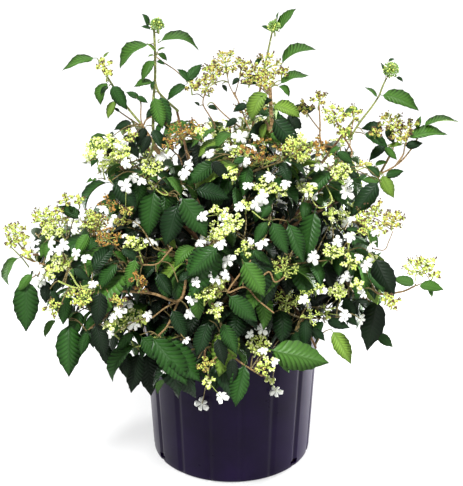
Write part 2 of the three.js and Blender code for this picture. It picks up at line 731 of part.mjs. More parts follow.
function massSolid(limb, mass) {
  const body = newBody();
  const length = limb.path(1).distanceTo(limb.path(limb.entry));
  const from = limb.entry + (JOINT_GAP / length) * (1 - limb.entry);
  let ring = startRing(body, armRing(limb.path(from), limb.along(from), limb.radius(from)));
  for (const { t, arms, side } of mass.nodes) {
    ring = addNode(body, ring, limb.path(t), limb.along(t), limb.radius(t), arms, side);
  }
  addEnd(body, ring, limb.tip, limb.along(1), limb.radius(1), mass);
  return mainBody(clearOfBoughs(bodySolid(body)));
}

// Cuts away what a leaf's root shares with a bough.
function clearOfBoughs(solid) {
  const crossed = [...limbs.values()].filter((limb) => solid.intersect(boughs.get(limb.name)).volume() > 1e-3);
  return crossed.reduce((left, limb) => left.subtract(boughSolid(limb, JOINT_GAP)), solid);
}

// The assembly

function material(color, roughness) {
  return new THREE.MeshStandardMaterial({ color, roughness, metalness: 0 });
}

function addMesh(group, name, geometry, finish) {
  const mesh = new THREE.Mesh(geometry, finish);
  mesh.name = name;
  group.add(mesh);
}

const plant = new THREE.Group();
const bark = material(COLOURS.bark, 0.8);
addMesh(plant, "pot", makePot(), material(COLOURS.pot, 0.45));
addMesh(plant, "potting_mix", makeMix(), material(COLOURS.mix, 0.95));
addMesh(plant, "trunk", geometryOf(trunkSolid(0)), bark);
for (const limb of limbs.values()) {
  const green = material(limb.form === FORMS.leader ? COLOURS.leader : COLOURS.foliage, 0.55);
  addMesh(plant, "bough_" + limb.name, geometryOf(boughs.get(limb.name)), bark);
  addMesh(plant, "mass_" + limb.name, geometryOf(massSolid(limb, growMass(limb))), green);
}

export default plant;
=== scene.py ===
"""A doublefile viburnum in flower in its black nursery pot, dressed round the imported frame."""

import functools
import json
import math
from collections import namedtuple

import bmesh
import bpy
import numpy as np
from bpy.props import FloatProperty, FloatVectorProperty, IntProperty, PointerProperty
from mathutils import Matrix, Vector, noise
from mathutils.bvhtree import BVHTree

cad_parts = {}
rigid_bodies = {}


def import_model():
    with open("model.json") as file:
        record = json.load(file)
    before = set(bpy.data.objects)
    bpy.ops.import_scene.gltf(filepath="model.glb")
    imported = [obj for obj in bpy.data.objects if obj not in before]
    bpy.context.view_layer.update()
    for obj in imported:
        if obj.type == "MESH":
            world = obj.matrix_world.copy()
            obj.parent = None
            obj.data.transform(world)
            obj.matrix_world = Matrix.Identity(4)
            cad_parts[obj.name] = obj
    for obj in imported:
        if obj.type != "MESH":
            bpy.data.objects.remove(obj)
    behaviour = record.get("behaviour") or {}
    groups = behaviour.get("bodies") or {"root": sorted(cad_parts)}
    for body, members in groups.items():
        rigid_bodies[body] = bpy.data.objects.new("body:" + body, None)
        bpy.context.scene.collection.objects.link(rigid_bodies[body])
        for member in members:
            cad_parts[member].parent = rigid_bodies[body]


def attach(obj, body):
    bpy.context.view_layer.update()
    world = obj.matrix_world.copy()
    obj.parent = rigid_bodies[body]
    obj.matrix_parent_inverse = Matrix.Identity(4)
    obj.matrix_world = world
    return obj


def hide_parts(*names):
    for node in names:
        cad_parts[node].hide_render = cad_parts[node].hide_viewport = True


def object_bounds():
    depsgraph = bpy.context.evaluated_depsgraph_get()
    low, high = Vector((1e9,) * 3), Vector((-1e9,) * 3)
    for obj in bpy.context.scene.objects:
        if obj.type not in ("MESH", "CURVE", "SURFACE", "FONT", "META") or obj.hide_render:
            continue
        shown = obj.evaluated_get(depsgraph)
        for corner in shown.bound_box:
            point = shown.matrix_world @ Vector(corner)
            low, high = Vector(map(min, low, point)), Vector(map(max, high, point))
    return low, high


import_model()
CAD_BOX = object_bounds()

bl_info = {
    "name": "Potted Doublefile Viburnum",
    "version": (1, 0, 0),
    "blender": (4, 5, 0),
    "location": "3D View > Sidebar > Viburnum",
    "description": "Grows a doublefile viburnum in a nursery pot round its packed frame",
    "category": "Add Mesh",
}

MM = 0.001

# Sizes in mm and growth, as in the part's source.
POT = {
    "height": 240,
    "foot": 122,
    "shoulder": 133,
    "collar": 137,
    "rim": 141,
    "wall": 3,
    "floor": 4,
    "shoulder_height": 206,
    "panels": 16,
    "pleat": 2.2,
    "first_pleat": 6.8,
}
DRAIN_PLEATS = (-3, 2, 5, 10)
MIX_TOP = 216
JOINT_GAP = 0.3
MIX_GAP = 0.4
TRUNK = {"height": 78, "foot": 14, "flare": 22, "top": 8.5, "lean": (7, -4)}
CELL_MARGIN = 0.8
LIMB_MARGIN = 3.5
TRIES = 12
FINE_TRIES = 9
FINE_OVER = 14
STEEP = 0.75
FORK_ROOM = 0.1
LEAF_SPACING = 5
POT_MARGIN = 6
TWIG_ROOT = 3
TWIG_TIP = 1.7
PEDUNCLE = 1.1
STEM_CORE = 1
LEAF_BREADTH = 0.56
LEAF_THICKNESS = 1.7
HEAD_DOME = 0.3
HEAD_SIDES = 8
HEAD_FLORETS = 1.5
BOUGH_STEPS = 4
BOUGH_SIDES = 5

# The scene's own: steps in a mass's stem, chips on the mix, how near points are merged in m, the number
# of the spray at a limb's end, turns in radians, and the space round the box that is searched in mm.
STEM_STEPS = 14
CHIPS = 620
WELD = 5e-5
END_SPRAY = 99
SPIRAL = 2.4
ANY_TURN = 6.28
ROOM_EDGE = 20

# What one kind of limb is like: its zone, its radii at the root and the tip, the share that is bare, its
# arch, its nodes, how long its twigs and leaves are, the leaves' droop in degrees, the radius and the
# stalk of its heads, and where along it and how far above it the middle of its mass is.
Form = namedtuple("Form", "zone root tip bare arch nodes twig leaf droop head stalk hub")
FORMS = {
    "wing": Form("wings", 4.2, 1.9, 0.3, 50, 5, 56, 84, 84, 26, 34, (0.7, 24)),
    "skirt": Form("skirts", 3.0, 1.6, 0.36, 34, 4, 48, 84, 84, 25, 26, (0.76, -34)),
    "crest": Form("crests", 3.3, 1.7, 0.36, 10, 5, 54, 78, 80, 26, 36, (0.8, 0)),
    "spray": Form("leaders", 2.5, 1.3, 0.4, 14, 1, 46, 56, 60, 22, 30, (0.9, 0)),
    "leader": Form("leaders", 2.5, 1.3, 0.4, 14, 3, 0, 56, 60, 12, 8, (0.9, 0)),
}

# Name, parent, where on it, form, azimuth, reach, height and kinds of flower head, the tip's last:
# F fresh with white florets, G golden, S spent, B in bud, a dot none.
LIMBS = [
    ("wing_left", "trunk", 0.36, "wing", -84, 296, 340, "GF.FFGG"),
    ("wing_front_left", "trunk", 0.62, "wing", -48, 248, 384, "FSF.FGF"),
    ("front_left", "trunk", 0.36, "wing", -17, 204, 402, "F.FF.FF"),
    ("front_right", "trunk", 0.62, "wing", 20, 208, 394, "FF.F.FF"),
    ("front_low", "trunk", 0.16, "skirt", -6, 166, 322, "FF.F.FF"),
    ("wing_front_right", "trunk", 0.36, "wing", 54, 238, 376, "F.FF.FF"),
    ("wing_right", "trunk", 0.62, "wing", 86, 276, 326, "FGF.F.G"),
    ("wing_back_right", "trunk", 0.36, "wing", 128, 262, 376, "FGF.F.F"),
    ("wing_back", "trunk", 0.62, "wing", 172, 250, 390, "FF.SF.F"),
    ("wing_back_left", "trunk", 0.5, "wing", -130, 262, 380, ".FG.FFF"),
    ("crest_left", "trunk", 1, "crest", -62, 178, 500, "FFGF.FF"),
    ("crest_front", "trunk", 1, "crest", 8, 100, 508, "SFSF.FF"),
    ("crest_right", "trunk", 1, "crest", 70, 172, 492, "GFSF.FG"),
    ("crest_back", "trunk", 1, "crest", -178, 122, 524, "FGF.FSF"),
    ("leader_left_outer", "crest_left", 0.36, "leader", -88, 188, 622, "G"),
    ("leader_left", "crest_left", 0.24, "leader", -88, 107, 682, "B"),
    ("leader_middle", "crest_front", 0.32, "spray", 60, 20, 586, "GFG"),
    ("leader_right", "crest_back", 0.3, "leader", 106, 64, 684, "B"),
    ("leader_right_outer", "crest_right", 0.24, "leader", 88, 222, 608, "B"),
    ("leader_far_right", "crest_right", 0.38, "spray", 80, 290, 496, "G.G"),
    ("skirt_front", "front_left", 0.3, "skirt", -10, 218, 268, "F..S.F.FF"),
    ("skirt_front_right", "wing_front_right", 0.3, "skirt", 32, 224, 268, ".F.F.FF"),
    ("skirt_right", "wing_right", 0.3, "skirt", 74, 256, 268, "F.F..FF"),
    ("skirt_back_right", "wing_back_right", 0.3, "skirt", 114, 258, 268, ".F.F.FF"),
    ("skirt_back", "wing_back", 0.3, "skirt", 156, 250, 268, "F..F.FG"),
    ("skirt_back_left", "wing_back_left", 0.3, "skirt", -154, 252, 268, ".F.F.FF"),
    ("skirt_left_back", "wing_left", 0.3, "skirt", -106, 258, 268, "G.F..FF"),
    ("skirt_front_left", "wing_front_left", 0.3, "skirt", -56, 250, 268, "F.FG.FF"),
]
ZONES = ("wings", "skirts", "crests", "leaders")

# The photograph's camera, in mm, and what is read off the photograph with it, in pixels.
EYE = np.array((0.0, -2100.0, 1280.0))
PITCH = 24
FOCAL = 1535
PHOTO_WIDTH = 463
PHOTO_HEIGHT = 486
CENTRE = (PHOTO_WIDTH / 2, PHOTO_HEIGHT / 2)
SENSOR = 36

# Depths in the view that are searched, the shrub's own, and the room that is kept before what is seen.
VIEW_DEPTHS = np.arange(1500, 2700, 3.0)
SHRUB_DEPTH = 2300
VIEW_ROOM = 75

# The share of a leaf, of a head or twig, and of the finer growth that may show against the sky.
LEAF_SKY = 0.3
HEAD_SKY = 0.5
FINE_SKY = 0.15

# The shrub's outline. What grows by rule stays inside it but for the shares above, and the rest that
# stands against the sky is listed below.
OUTLINE = [
    (150, 396), (128, 390), (115, 376), (107, 366), (96, 357), (90, 343), (78, 346), (62, 341),
    (65, 319), (55, 308), (40, 300), (36, 284), (32, 270), (28, 256), (31, 240), (38, 222), (46, 209),
    (56, 204), (64, 197), (84, 196), (90, 210), (104, 204), (118, 192), (110, 178), (93, 166),
    (88, 150), (92, 138), (104, 129), (118, 125), (126, 121), (138, 117), (148, 122), (156, 126),
    (166, 126), (172, 121), (180, 118), (188, 121), (196, 118), (206, 121), (214, 120), (224, 123),
    (236, 128), (244, 120), (250, 106), (254, 98), (262, 94), (272, 94), (276, 103), (288, 112),
    (298, 108), (306, 104), (320, 102), (330, 108), (345, 106), (356, 107), (358, 122), (352, 134),
    (352, 150), (360, 160), (356, 176), (364, 190), (365, 206), (364, 220), (368, 236), (372, 251),
    (382, 262), (392, 276), (391, 289), (380, 296), (380, 312), (386, 330), (376, 342), (362, 337),
    (352, 325), (340, 325), (328, 331), (319, 343), (317, 354), (298, 360), (281, 370), (271, 386),
    (240, 414), (225, 410), (200, 396), (170, 388),
]

# Leaves: base, tip, turn away from facing the camera, bend in degrees, and S shade, G green, L light,
# Y young or D deep, where S and D are painted shade and L painted light.
SEEN_LEAVES = [
    (151, 44, 120, 69, 56, 75, "L"), (156, 52, 146, 43, 55, 40, "Y"), (157, 52, 166, 48, 60, 40, "Y"),
    (154, 55, 148, 57, 50, 30, "Y"), (158, 53, 167, 61, 30, 60, "L"), (158, 43, 199, 51, 54, 105, "L"),
    (155, 59, 142, 82, 30, 45, "L"), (156, 61, 165, 65, 35, 40, "G"), (154, 82, 134, 87, 42, 60, "L"),
    (154, 80, 152, 91, 30, 40, "G"), (154, 95, 163, 129, 0, 25, "L"), (160, 94, 168, 131, 5, 25, "G"),
    (155, 107, 146, 119, 15, 30, "S"), (152, 128, 163, 150, 15, 30, "S"),
    (146, 126, 137, 147, 10, 30, "D"), (151, 134, 141, 154, 10, 30, "D"),
    (159, 134, 174, 151, 10, 30, "D"), (118, 139, 107, 157, 15, 30, "D"),
    (128, 141, 139, 159, 15, 30, "D"), (100, 150, 91, 167, 15, 30, "G"),
    (163, 122, 156, 136, 30, 30, "G"), (186, 82, 202, 64, 12, 30, "G"), (190, 82, 177, 69, 28, 40, "G"),
    (187, 84, 167, 101, 28, 45, "G"), (147, 28, 140, 9, 48, 80, "G"), (151, 30, 141, 27, 50, 60, "G"),
    (270, 31, 261, 26, 50, 50, "G"), (277, 20, 279, 11, 50, 40, "L"), (396, 77, 403, 82, 40, 50, "G"),
    (388, 62, 395, 59, 45, 50, "G"), (97, 58, 62, 71, 50, 55, "L"), (108, 82, 101, 105, 38, 95, "L"),
    (109, 86, 100, 94, 30, 30, "S"), (111, 84, 127, 110, 0, 30, "G"), (140, 98, 126, 92, 5, 30, "G"),
    (136, 97, 148, 103, 15, 40, "G"), (117, 99, 108, 119, 50, 40, "Y"),
    (133, 122, 114, 130, 25, 35, "S"), (103, 58, 110, 52, 50, 40, "Y"),
    (120, 112, 113, 108, 30, 30, "S"), (279, 32, 302, 1, 46, 40, "L"), (274, 30, 270, 22, 50, 60, "Y"),
    (280, 66, 316, 50, 64, 70, "L"), (278, 85, 309, 76, 62, 40, "L"), (278, 86, 289, 97, 45, 90, "L"),
    (271, 107, 300, 118, 40, 80, "Y"), (268, 92, 252, 121, 35, 95, "Y"),
    (250, 102, 273, 100, 5, 30, "S"), (269, 133, 288, 142, 5, 25, "L"),
    (248, 104, 233, 112, 20, 30, "S"), (272, 117, 300, 151, 0, 30, "S"),
    (266, 120, 248, 139, 0, 30, "S"), (302, 103, 292, 119, 10, 30, "S"),
    (299, 112, 316, 108, 10, 30, "S"), (266, 122, 262, 140, 30, 40, "Y"),
    (240, 78, 232, 85, 20, 30, "S"), (222, 84, 227, 92, 30, 30, "S"), (247, 79, 262, 78, 25, 30, "S"),
    (258, 84, 240, 84, 40, 40, "G"), (255, 68, 263, 57, 45, 30, "G"), (200, 106, 194, 102, 30, 30, "S"),
    (207, 106, 218, 110, 30, 30, "S"), (238, 118, 225, 128, 15, 30, "S"),
    (379, 95, 419, 111, 36, 60, "L"), (378, 98, 364, 87, 50, 50, "L"), (386, 77, 380, 62, 50, 40, "G"),
    (421, 129, 461, 122, 60, 60, "L"), (405, 139, 448, 135, 50, 55, "L"),
    (404, 146, 423, 143, 0, 30, "S"), (388, 145, 369, 161, 25, 40, "S"),
    (384, 146, 397, 160, 5, 30, "L"), (388, 147, 403, 145, 40, 30, "Y"),
    (386, 127, 394, 144, 10, 25, "S"), (417, 130, 421, 116, 30, 30, "L"),
    (384, 128, 361, 129, 25, 50, "S"), (363, 132, 388, 148, 25, 40, "G"),
    (384, 177, 404, 171, 20, 35, "G"), (381, 174, 394, 198, 0, 30, "Y"),
    (381, 182, 361, 180, 20, 30, "L"), (367, 229, 378, 248, 10, 30, "L"),
    (379, 179, 389, 194, 45, 30, "L"), (380, 177, 366, 166, 20, 35, "G"),
    (374, 166, 388, 162, 40, 35, "L"), (380, 180, 351, 217, 0, 25, "S"),
    (358, 178, 346, 171, 15, 30, "S"), (336, 151, 353, 164, 15, 35, "G"),
    (341, 147, 329, 154, 30, 30, "L"), (110, 138, 118, 151, 30, 35, "G"),
    (110, 182, 86, 213, 70, 95, "G"), (112, 180, 137, 211, 10, 30, "S"),
    (98, 179, 86, 183, 45, 40, "L"), (155, 188, 149, 237, 22, 30, "G"),
    (165, 177, 180, 200, 45, 90, "L"), (180, 195, 207, 238, 5, 25, "G"),
    (179, 201, 165, 247, 5, 25, "S"), (217, 161, 185, 185, 5, 35, "G"),
    (193, 189, 230, 199, 20, 30, "S"), (235, 184, 236, 215, 35, 25, "G"),
    (250, 164, 242, 198, 10, 30, "G"), (268, 220, 254, 244, 5, 30, "G"),
    (271, 220, 288, 255, 5, 30, "G"), (287, 221, 304, 263, 10, 30, "G"),
    (316, 208, 307, 263, 25, 25, "G"), (242, 259, 265, 297, 0, 30, "L"),
    (219, 245, 187, 277, 5, 35, "G"), (214, 243, 205, 262, 50, 30, "Y"),
    (251, 249, 271, 265, 15, 35, "G"), (272, 205, 261, 219, 5, 30, "G"),
    (227, 294, 259, 323, 0, 30, "G"), (221, 321, 237, 355, 5, 30, "G"),
    (209, 320, 196, 357, 5, 25, "S"), (171, 308, 186, 339, 10, 25, "S"),
    (150, 335, 194, 395, 15, 35, "G"), (161, 338, 201, 382, 5, 30, "G"),
    (233, 356, 231, 387, 0, 25, "D"), (217, 336, 226, 371, 5, 25, "D"),
    (210, 160, 230, 181, 8, 30, "D"), (246, 362, 232, 422, 14, 25, "G"),
    (267, 349, 329, 363, 0, 25, "L"), (270, 352, 289, 373, 45, 35, "L"),
    (139, 350, 131, 393, 0, 20, "D"), (121, 348, 128, 380, 0, 20, "D"),
    (146, 350, 151, 396, 5, 20, "D"), (138, 345, 113, 382, 45, 95, "G"),
    (134, 331, 116, 351, 5, 25, "G"), (101, 340, 112, 369, 0, 25, "D"),
    (288, 112, 300, 136, 20, 30, "D"), (140, 335, 163, 363, 10, 30, "G"),
    (95, 321, 109, 370, 0, 25, "D"), (101, 289, 96, 332, 0, 25, "D"), (67, 291, 63, 325, 5, 25, "G"),
    (69, 320, 69, 377, 0, 25, "G"), (50, 289, 60, 309, 10, 30, "S"), (88, 330, 81, 356, 10, 25, "G"),
    (33, 273, 18, 292, 12, 40, "L"), (26, 276, 26, 332, 0, 25, "G"), (21, 257, 5, 295, 63, 100, "L"),
    (57, 319, 45, 338, 50, 60, "L"), (83, 218, 58, 206, 5, 40, "G"), (89, 232, 75, 256, 0, 30, "L"),
    (136, 257, 127, 289, 5, 35, "L"), (119, 262, 99, 291, 35, 40, "G"),
    (92, 272, 116, 243, 20, 30, "S"), (61, 243, 71, 257, 10, 30, "S"), (46, 281, 46, 304, 10, 30, "D"),
    (72, 268, 90, 281, 10, 30, "S"), (374, 256, 394, 298, 0, 30, "D"),
    (366, 270, 385, 293, 35, 30, "G"), (416, 284, 392, 279, 12, 30, "L"),
    (417, 286, 444, 290, 28, 30, "L"), (428, 286, 432, 298, 40, 30, "L"),
    (378, 297, 367, 351, 0, 25, "D"), (376, 333, 393, 347, 5, 25, "G"),
    (331, 329, 351, 364, 25, 20, "Y"), (325, 320, 350, 328, 8, 30, "S"),
    (342, 313, 358, 326, 15, 30, "S"), (232, 163, 249, 158, 15, 30, "G"),
    (311, 328, 325, 341, 20, 30, "S"), (306, 316, 305, 350, 5, 25, "S"),
    (343, 297, 355, 319, 5, 30, "S"), (345, 230, 362, 232, 45, 30, "G"),
    (156, 272, 172, 296, 15, 30, "S"), (178, 282, 196, 270, 25, 40, "S"),
    (120, 248, 140, 262, 20, 30, "S"),
]

# Flower heads: kind, centre and radius. Beside the kinds above, C is a lime green head without white
# florets and T a bare umbel of thin rays.
SEEN_HEADS = [
    ("B", 157, 24, 8), ("C", 104, 65, 9), ("C", 108, 73, 5), ("B", 274, 26, 7), ("G", 226, 63, 15),
    ("G", 212, 72, 10), ("G", 243, 64, 8), ("G", 206, 85, 12), ("G", 192, 86, 8), ("G", 266, 66, 15),
    ("G", 249, 77, 10), ("G", 265, 80, 10), ("G", 283, 72, 6), ("B", 391, 69, 9), ("G", 391, 122, 12),
    ("G", 400, 134, 10), ("G", 410, 126, 9), ("G", 376, 133, 7), ("G", 319, 99, 9), ("G", 305, 107, 9),
    ("C", 334, 115, 12), ("C", 354, 114, 9), ("C", 344, 131, 8), ("F", 298, 149, 17),
    ("F", 299, 140, 9), ("C", 300, 152, 11), ("C", 291, 146, 9), ("S", 321, 142, 8), ("C", 380, 228, 8),
    ("C", 387, 298, 6), ("S", 317, 149, 10), ("F", 341, 172, 11), ("F", 310, 190, 8),
    ("S", 178, 132, 14), ("S", 194, 127, 10), ("S", 169, 143, 8), ("F", 201, 131, 7),
    ("F", 222, 137, 12), ("F", 231, 174, 9), ("S", 262, 141, 9), ("S", 257, 155, 8), ("S", 245, 149, 6),
    ("F", 152, 167, 12), ("F", 97, 146, 12), ("F", 111, 141, 10), ("F", 89, 154, 6),
    ("F", 121, 153, 11), ("C", 130, 136, 8), ("F", 104, 165, 6), ("F", 263, 186, 11),
    ("F", 279, 190, 9), ("F", 219, 212, 10), ("F", 233, 223, 11), ("F", 221, 234, 8),
    ("F", 246, 205, 7), ("F", 244, 249, 10), ("C", 15, 232, 11), ("C", 11, 243, 6), ("C", 23, 240, 7),
    ("C", 27, 253, 6), ("C", 44, 217, 12), ("C", 57, 213, 7), ("F", 52, 231, 11), ("C", 66, 200, 8),
    ("C", 79, 200, 6), ("C", 91, 219, 11), ("S", 108, 203, 10), ("G", 126, 210, 7), ("S", 108, 236, 13),
    ("F", 130, 241, 7), ("F", 61, 262, 11), ("F", 50, 272, 8), ("C", 80, 297, 13), ("C", 52, 308, 10),
    ("C", 217, 290, 9), ("C", 215, 310, 7), ("C", 257, 349, 8), ("C", 263, 369, 8), ("T", 320, 288, 6),
    ("G", 118, 301, 8), ("F", 124, 319, 14), ("F", 141, 318, 9), ("F", 109, 326, 7), ("S", 141, 286, 8),
    ("S", 137, 277, 8), ("F", 205, 292, 13), ("F", 221, 283, 8), ("F", 216, 312, 9),
    ("F", 259, 345, 12), ("F", 268, 364, 10), ("F", 270, 380, 5), ("G", 206, 364, 9),
    ("F", 209, 382, 7), ("T", 285, 268, 14), ("T", 287, 300, 14), ("T", 306, 296, 9),
    ("T", 311, 317, 10), ("T", 327, 312, 9), ("F", 333, 251, 11), ("F", 350, 262, 10),
    ("F", 338, 291, 10), ("F", 357, 284, 7), ("F", 331, 214, 8), ("C", 367, 215, 12),
    ("G", 393, 220, 11), ("C", 379, 207, 7), ("F", 372, 258, 6), ("C", 417, 268, 13),
    ("C", 427, 262, 9), ("C", 434, 274, 7), ("C", 394, 303, 8), ("C", 366, 228, 8),
]

# White florets: centre and radius.
SEEN_FLORETS = [
    (160, 157, 8), (169, 162, 7), (126, 186, 9), (133, 177, 8), (126, 163, 8), (141, 181, 7),
    (189, 165, 7), (184, 172, 9), (240, 137, 10), (203, 145, 10), (208, 154, 8), (196, 151, 6),
    (270, 177, 9), (248, 185, 7), (286, 184, 8), (283, 205, 9), (262, 197, 9), (240, 207, 8),
    (256, 204, 9), (202, 217, 8), (220, 244, 9), (262, 243, 9), (228, 260, 10), (346, 192, 10),
    (349, 182, 6), (351, 219, 6), (50, 254, 9), (38, 268, 9), (85, 258, 8), (76, 254, 7), (63, 245, 8),
    (40, 282, 9), (137, 223, 6), (93, 284, 6), (113, 317, 7), (119, 311, 9), (134, 325, 8),
    (148, 315, 7), (110, 333, 6), (35, 243, 7), (104, 209, 8), (113, 217, 6), (214, 277, 10),
    (191, 300, 7), (190, 314, 9), (226, 275, 7), (262, 329, 8), (250, 335, 6), (276, 391, 8),
    (202, 404, 9), (221, 397, 9), (186, 340, 6), (164, 371, 4), (313, 257, 9), (346, 277, 9),
    (366, 264, 10), (350, 236, 8), (371, 246, 8), (337, 241, 7), (363, 293, 7), (345, 316, 8),
    (361, 319, 6), (304, 300, 7), (263, 351, 6), (275, 362, 6), (385, 205, 8), (375, 232, 6),
    (255, 137, 6), (320, 166, 8), (51, 243, 8), (59, 249, 7), (44, 250, 7), (196, 282, 7),
    (330, 160, 6), (96, 175, 6), (118, 146, 6), (100, 155, 7), (82, 215, 6), (74, 229, 6),
    (228, 147, 6), (246, 161, 6),
]

# Stems: T tan, G green or P pale, their radius in mm and the pixels that they pass.
SEEN_STEMS = [
    ("T", 2.4, (180, 300), (150, 293), (100, 290)),
    ("T", 1.9, (178, 302), (168, 325), (158, 336)),
    ("T", 1.5, (180, 300), (165, 308), (152, 318)),
    ("T", 1.7, (222, 336), (224, 349), (212, 361)),
    ("T", 1.6, (224, 349), (240, 362), (262, 376)),
    ("T", 1.5, (172, 248), (166, 255), (157, 264), (142, 265)),
    ("T", 1.5, (228, 291), (245, 287), (258, 300), (274, 313)),
    ("T", 1.9, (376, 292), (400, 292), (415, 286)),
    ("T", 1.4, (268, 272), (275, 282), (286, 276)),
    ("T", 3.6, (272, 131), (271, 110), (270, 88)),
    ("T", 1.3, (268, 92), (266, 82), (266, 70)),
    ("T", 1.2, (268, 94), (261, 88), (250, 80)),
    ("T", 1.4, (250, 131), (241, 108), (234, 92)),
    ("T", 0.9, (235, 95), (239, 80), (241, 68)),
    ("T", 0.9, (236, 98), (229, 84), (227, 70)),
    ("T", 1.3, (246, 132), (226, 116), (213, 103)),
    ("T", 1.3, (215, 126), (209, 115), (203, 104), (205, 92)),
    ("T", 1.2, (205, 95), (208, 86), (212, 80)),
    ("T", 1.6, (321, 142), (320, 122), (319, 103)),
    ("T", 1.2, (320, 130), (312, 120), (306, 111)),
    ("T", 1.7, (352, 152), (342, 134), (336, 120)),
    ("T", 1.2, (350, 146), (351, 132), (354, 118)),
    ("T", 1.2, (346, 140), (345, 135), (344, 131)),
    ("T", 2.2, (378, 178), (386, 163), (393, 148), (393, 130)),
    ("T", 1.7, (380, 174), (398, 164), (412, 148), (421, 131)),
    ("T", 1.6, (396, 165), (403, 155), (405, 146), (409, 134)),
    ("T", 1.5, (186, 172), (180, 158), (172, 150)),
    ("T", 1.5, (188, 175), (190, 160), (186, 150)),
    ("T", 2.0, (62, 264), (42, 264), (24, 257)),
    ("T", 1.3, (56, 268), (42, 272), (30, 279)),
    ("G", 1.7, (36, 263), (27, 254), (19, 244), (15, 238)),
    ("G", 1.4, (32, 270), (22, 258), (11, 247)),
    ("P", 1.8, (104, 286), (90, 285), (76, 288), (58, 281)),
    ("P", 1.6, (80, 287), (72, 276), (66, 268)),
    ("P", 1.2, (268, 226), (269, 220), (262, 219), (252, 211)),
    ("P", 1.1, (269, 221), (277, 214), (276, 203)),
    ("P", 1.1, (332, 200), (321, 208), (314, 203), (311, 195)),
    ("P", 1.1, (352, 222), (346, 214), (341, 206)),
    ("P", 1.6, (150, 338), (140, 346), (126, 344), (114, 334)),
    ("P", 1.4, (134, 346), (130, 338), (128, 328)),
    ("P", 1.2, (168, 194), (162, 194), (153, 186), (148, 178)),
    ("T", 1.1, (370, 248), (384, 250), (389, 241), (393, 231)),
    ("G", 2.4, (153, 146), (153, 124), (153, 104), (155, 80), (155, 54), (154, 30)),
    ("G", 2.2, (177, 110), (167, 101), (158, 91), (155, 80)),
    ("T", 3.0, (160, 154), (151, 139), (141, 124)),
    ("G", 2.0, (143, 127), (127, 107), (115, 89), (108, 78), (104, 70)),
    ("G", 1.8, (350, 138), (360, 122), (371, 108), (379, 96), (382, 88), (387, 77)),
    ("T", 1.4, (144, 124), (146, 120), (151, 117), (157, 118)),
    ("T", 1.5, (143, 128), (133, 121), (120, 112)),
    ("T", 1.3, (145, 130), (141, 120), (141, 104)),
    ("T", 1.5, (160, 192), (176, 196), (180, 185)),
    ("T", 1.1, (155, 55), (163, 62), (175, 70), (187, 81)),
]


# Settings


class PotSettings(bpy.types.PropertyGroup):
    """The nursery pot"""

    steps: IntProperty(name="Steps", description="Sides of the turned wall", default=240, min=48)
    pleat_depth: FloatProperty(
        name="Pleat depth", description="Depth of each pleat", default=POT["pleat"] * MM, unit="LENGTH"
    )
    colour: FloatVectorProperty(
        name="Plastic", description="Colour of the pot", default=(0.0054, 0.0016, 0.0165), subtype="COLOR"
    )
    gloss: FloatProperty(
        name="Roughness", description="Roughness of the plastic", default=0.3, subtype="FACTOR"
    )


class ShrubSettings(bpy.types.PropertyGroup):
    """The growth that is finer than the solids"""

    fine_spacing: FloatProperty(
        name="Fine spacing", description="Room kept round the finer leaves", default=3.6 * MM, unit="LENGTH"
    )
    bud: FloatProperty(name="Bud", description="Radius of a flower bud", default=1.35 * MM, unit="LENGTH")
    floret: FloatProperty(
        name="Floret", description="Radius of a white floret", default=13 * MM, unit="LENGTH"
    )


class ColourSettings(bpy.types.PropertyGroup):
    """The plant's base colours"""

    # shade is a darker copy of the leaf colour as painted shade, light a lighter copy as painted light
    shade: FloatVectorProperty(
        name="Shade leaves", description="Leaves in painted shade", default=(0.009, 0.031, 0.008), subtype="COLOR"
    )
    green: FloatVectorProperty(
        name="Green leaves", description="Full leaves", default=(0.020, 0.072, 0.011), subtype="COLOR"
    )
    light: FloatVectorProperty(
        name="Light leaves",
        description="Leaves in the light",
        default=(0.055, 0.148, 0.019),
        subtype="COLOR",
    )
    young: FloatVectorProperty(
        name="Young leaves", description="Leaves at the tips", default=(0.15, 0.26, 0.034), subtype="COLOR"
    )
    petal: FloatVectorProperty(
        name="Petals", description="White florets", default=(0.88, 0.89, 0.84), subtype="COLOR"
    )


BOX = np.array(CAD_BOX) / MM

# Vectors

UP = np.array((0.0, 0.0, 1.0))
AHEAD = np.array((0, math.cos(math.radians(PITCH)), -math.sin(math.radians(PITCH))))
LIFT = np.array((0, math.sin(math.radians(PITCH)), math.cos(math.radians(PITCH))))


def vec(x, y, z):
    return np.array((float(x), float(y), float(z)))


def unit(v):
    return v / math.sqrt(v[0] * v[0] + v[1] * v[1] + v[2] * v[2])


def cross(a, b):
    return np.array(
        (a[1] * b[2] - a[2] * b[1], a[2] * b[0] - a[0] * b[2], a[0] * b[1] - a[1] * b[0])
    )


def lerp(a, b, t):
    return a + (b - a) * t


def side_of(along):
    return unit(cross(along, UP))


def level(v):
    return unit(vec(v[0], v[1], 0))


def turned(v, angle):
    """v turned about the vertical."""
    c = math.cos(angle)
    s = math.sin(angle)
    return vec(v[0] * c - v[1] * s, v[0] * s + v[1] * c, v[2])


def place(azimuth, reach, height):
    a = math.radians(azimuth)
    return vec(reach * math.sin(a), -reach * math.cos(a), height)


def square_to(axis):
    """Two directions square to an axis and to each other."""
    u = unit(cross(vec(1, 0, 0) if abs(axis[2]) > 0.9 else UP, axis))
    return u, cross(axis, u)


def square_to_each(axes):
    """The same for many axes at once."""
    other = np.where(np.abs(axes[:, 2:]) > 0.9, (1.0, 0, 0), (0, 0, 1.0))
    u = np.cross(other, axes)
    u /= np.linalg.norm(u, axis=1)[:, None]
    return u, np.cross(axes, u)


def ring_round(centre, u, v, radii):
    """Points round a centre, at the given distances."""
    turns = 2 * np.pi * np.arange(len(radii)) / len(radii)
    radii = np.asarray(radii, float)
    return centre + np.outer(radii * np.cos(turns), u) + np.outer(radii * np.sin(turns), v)


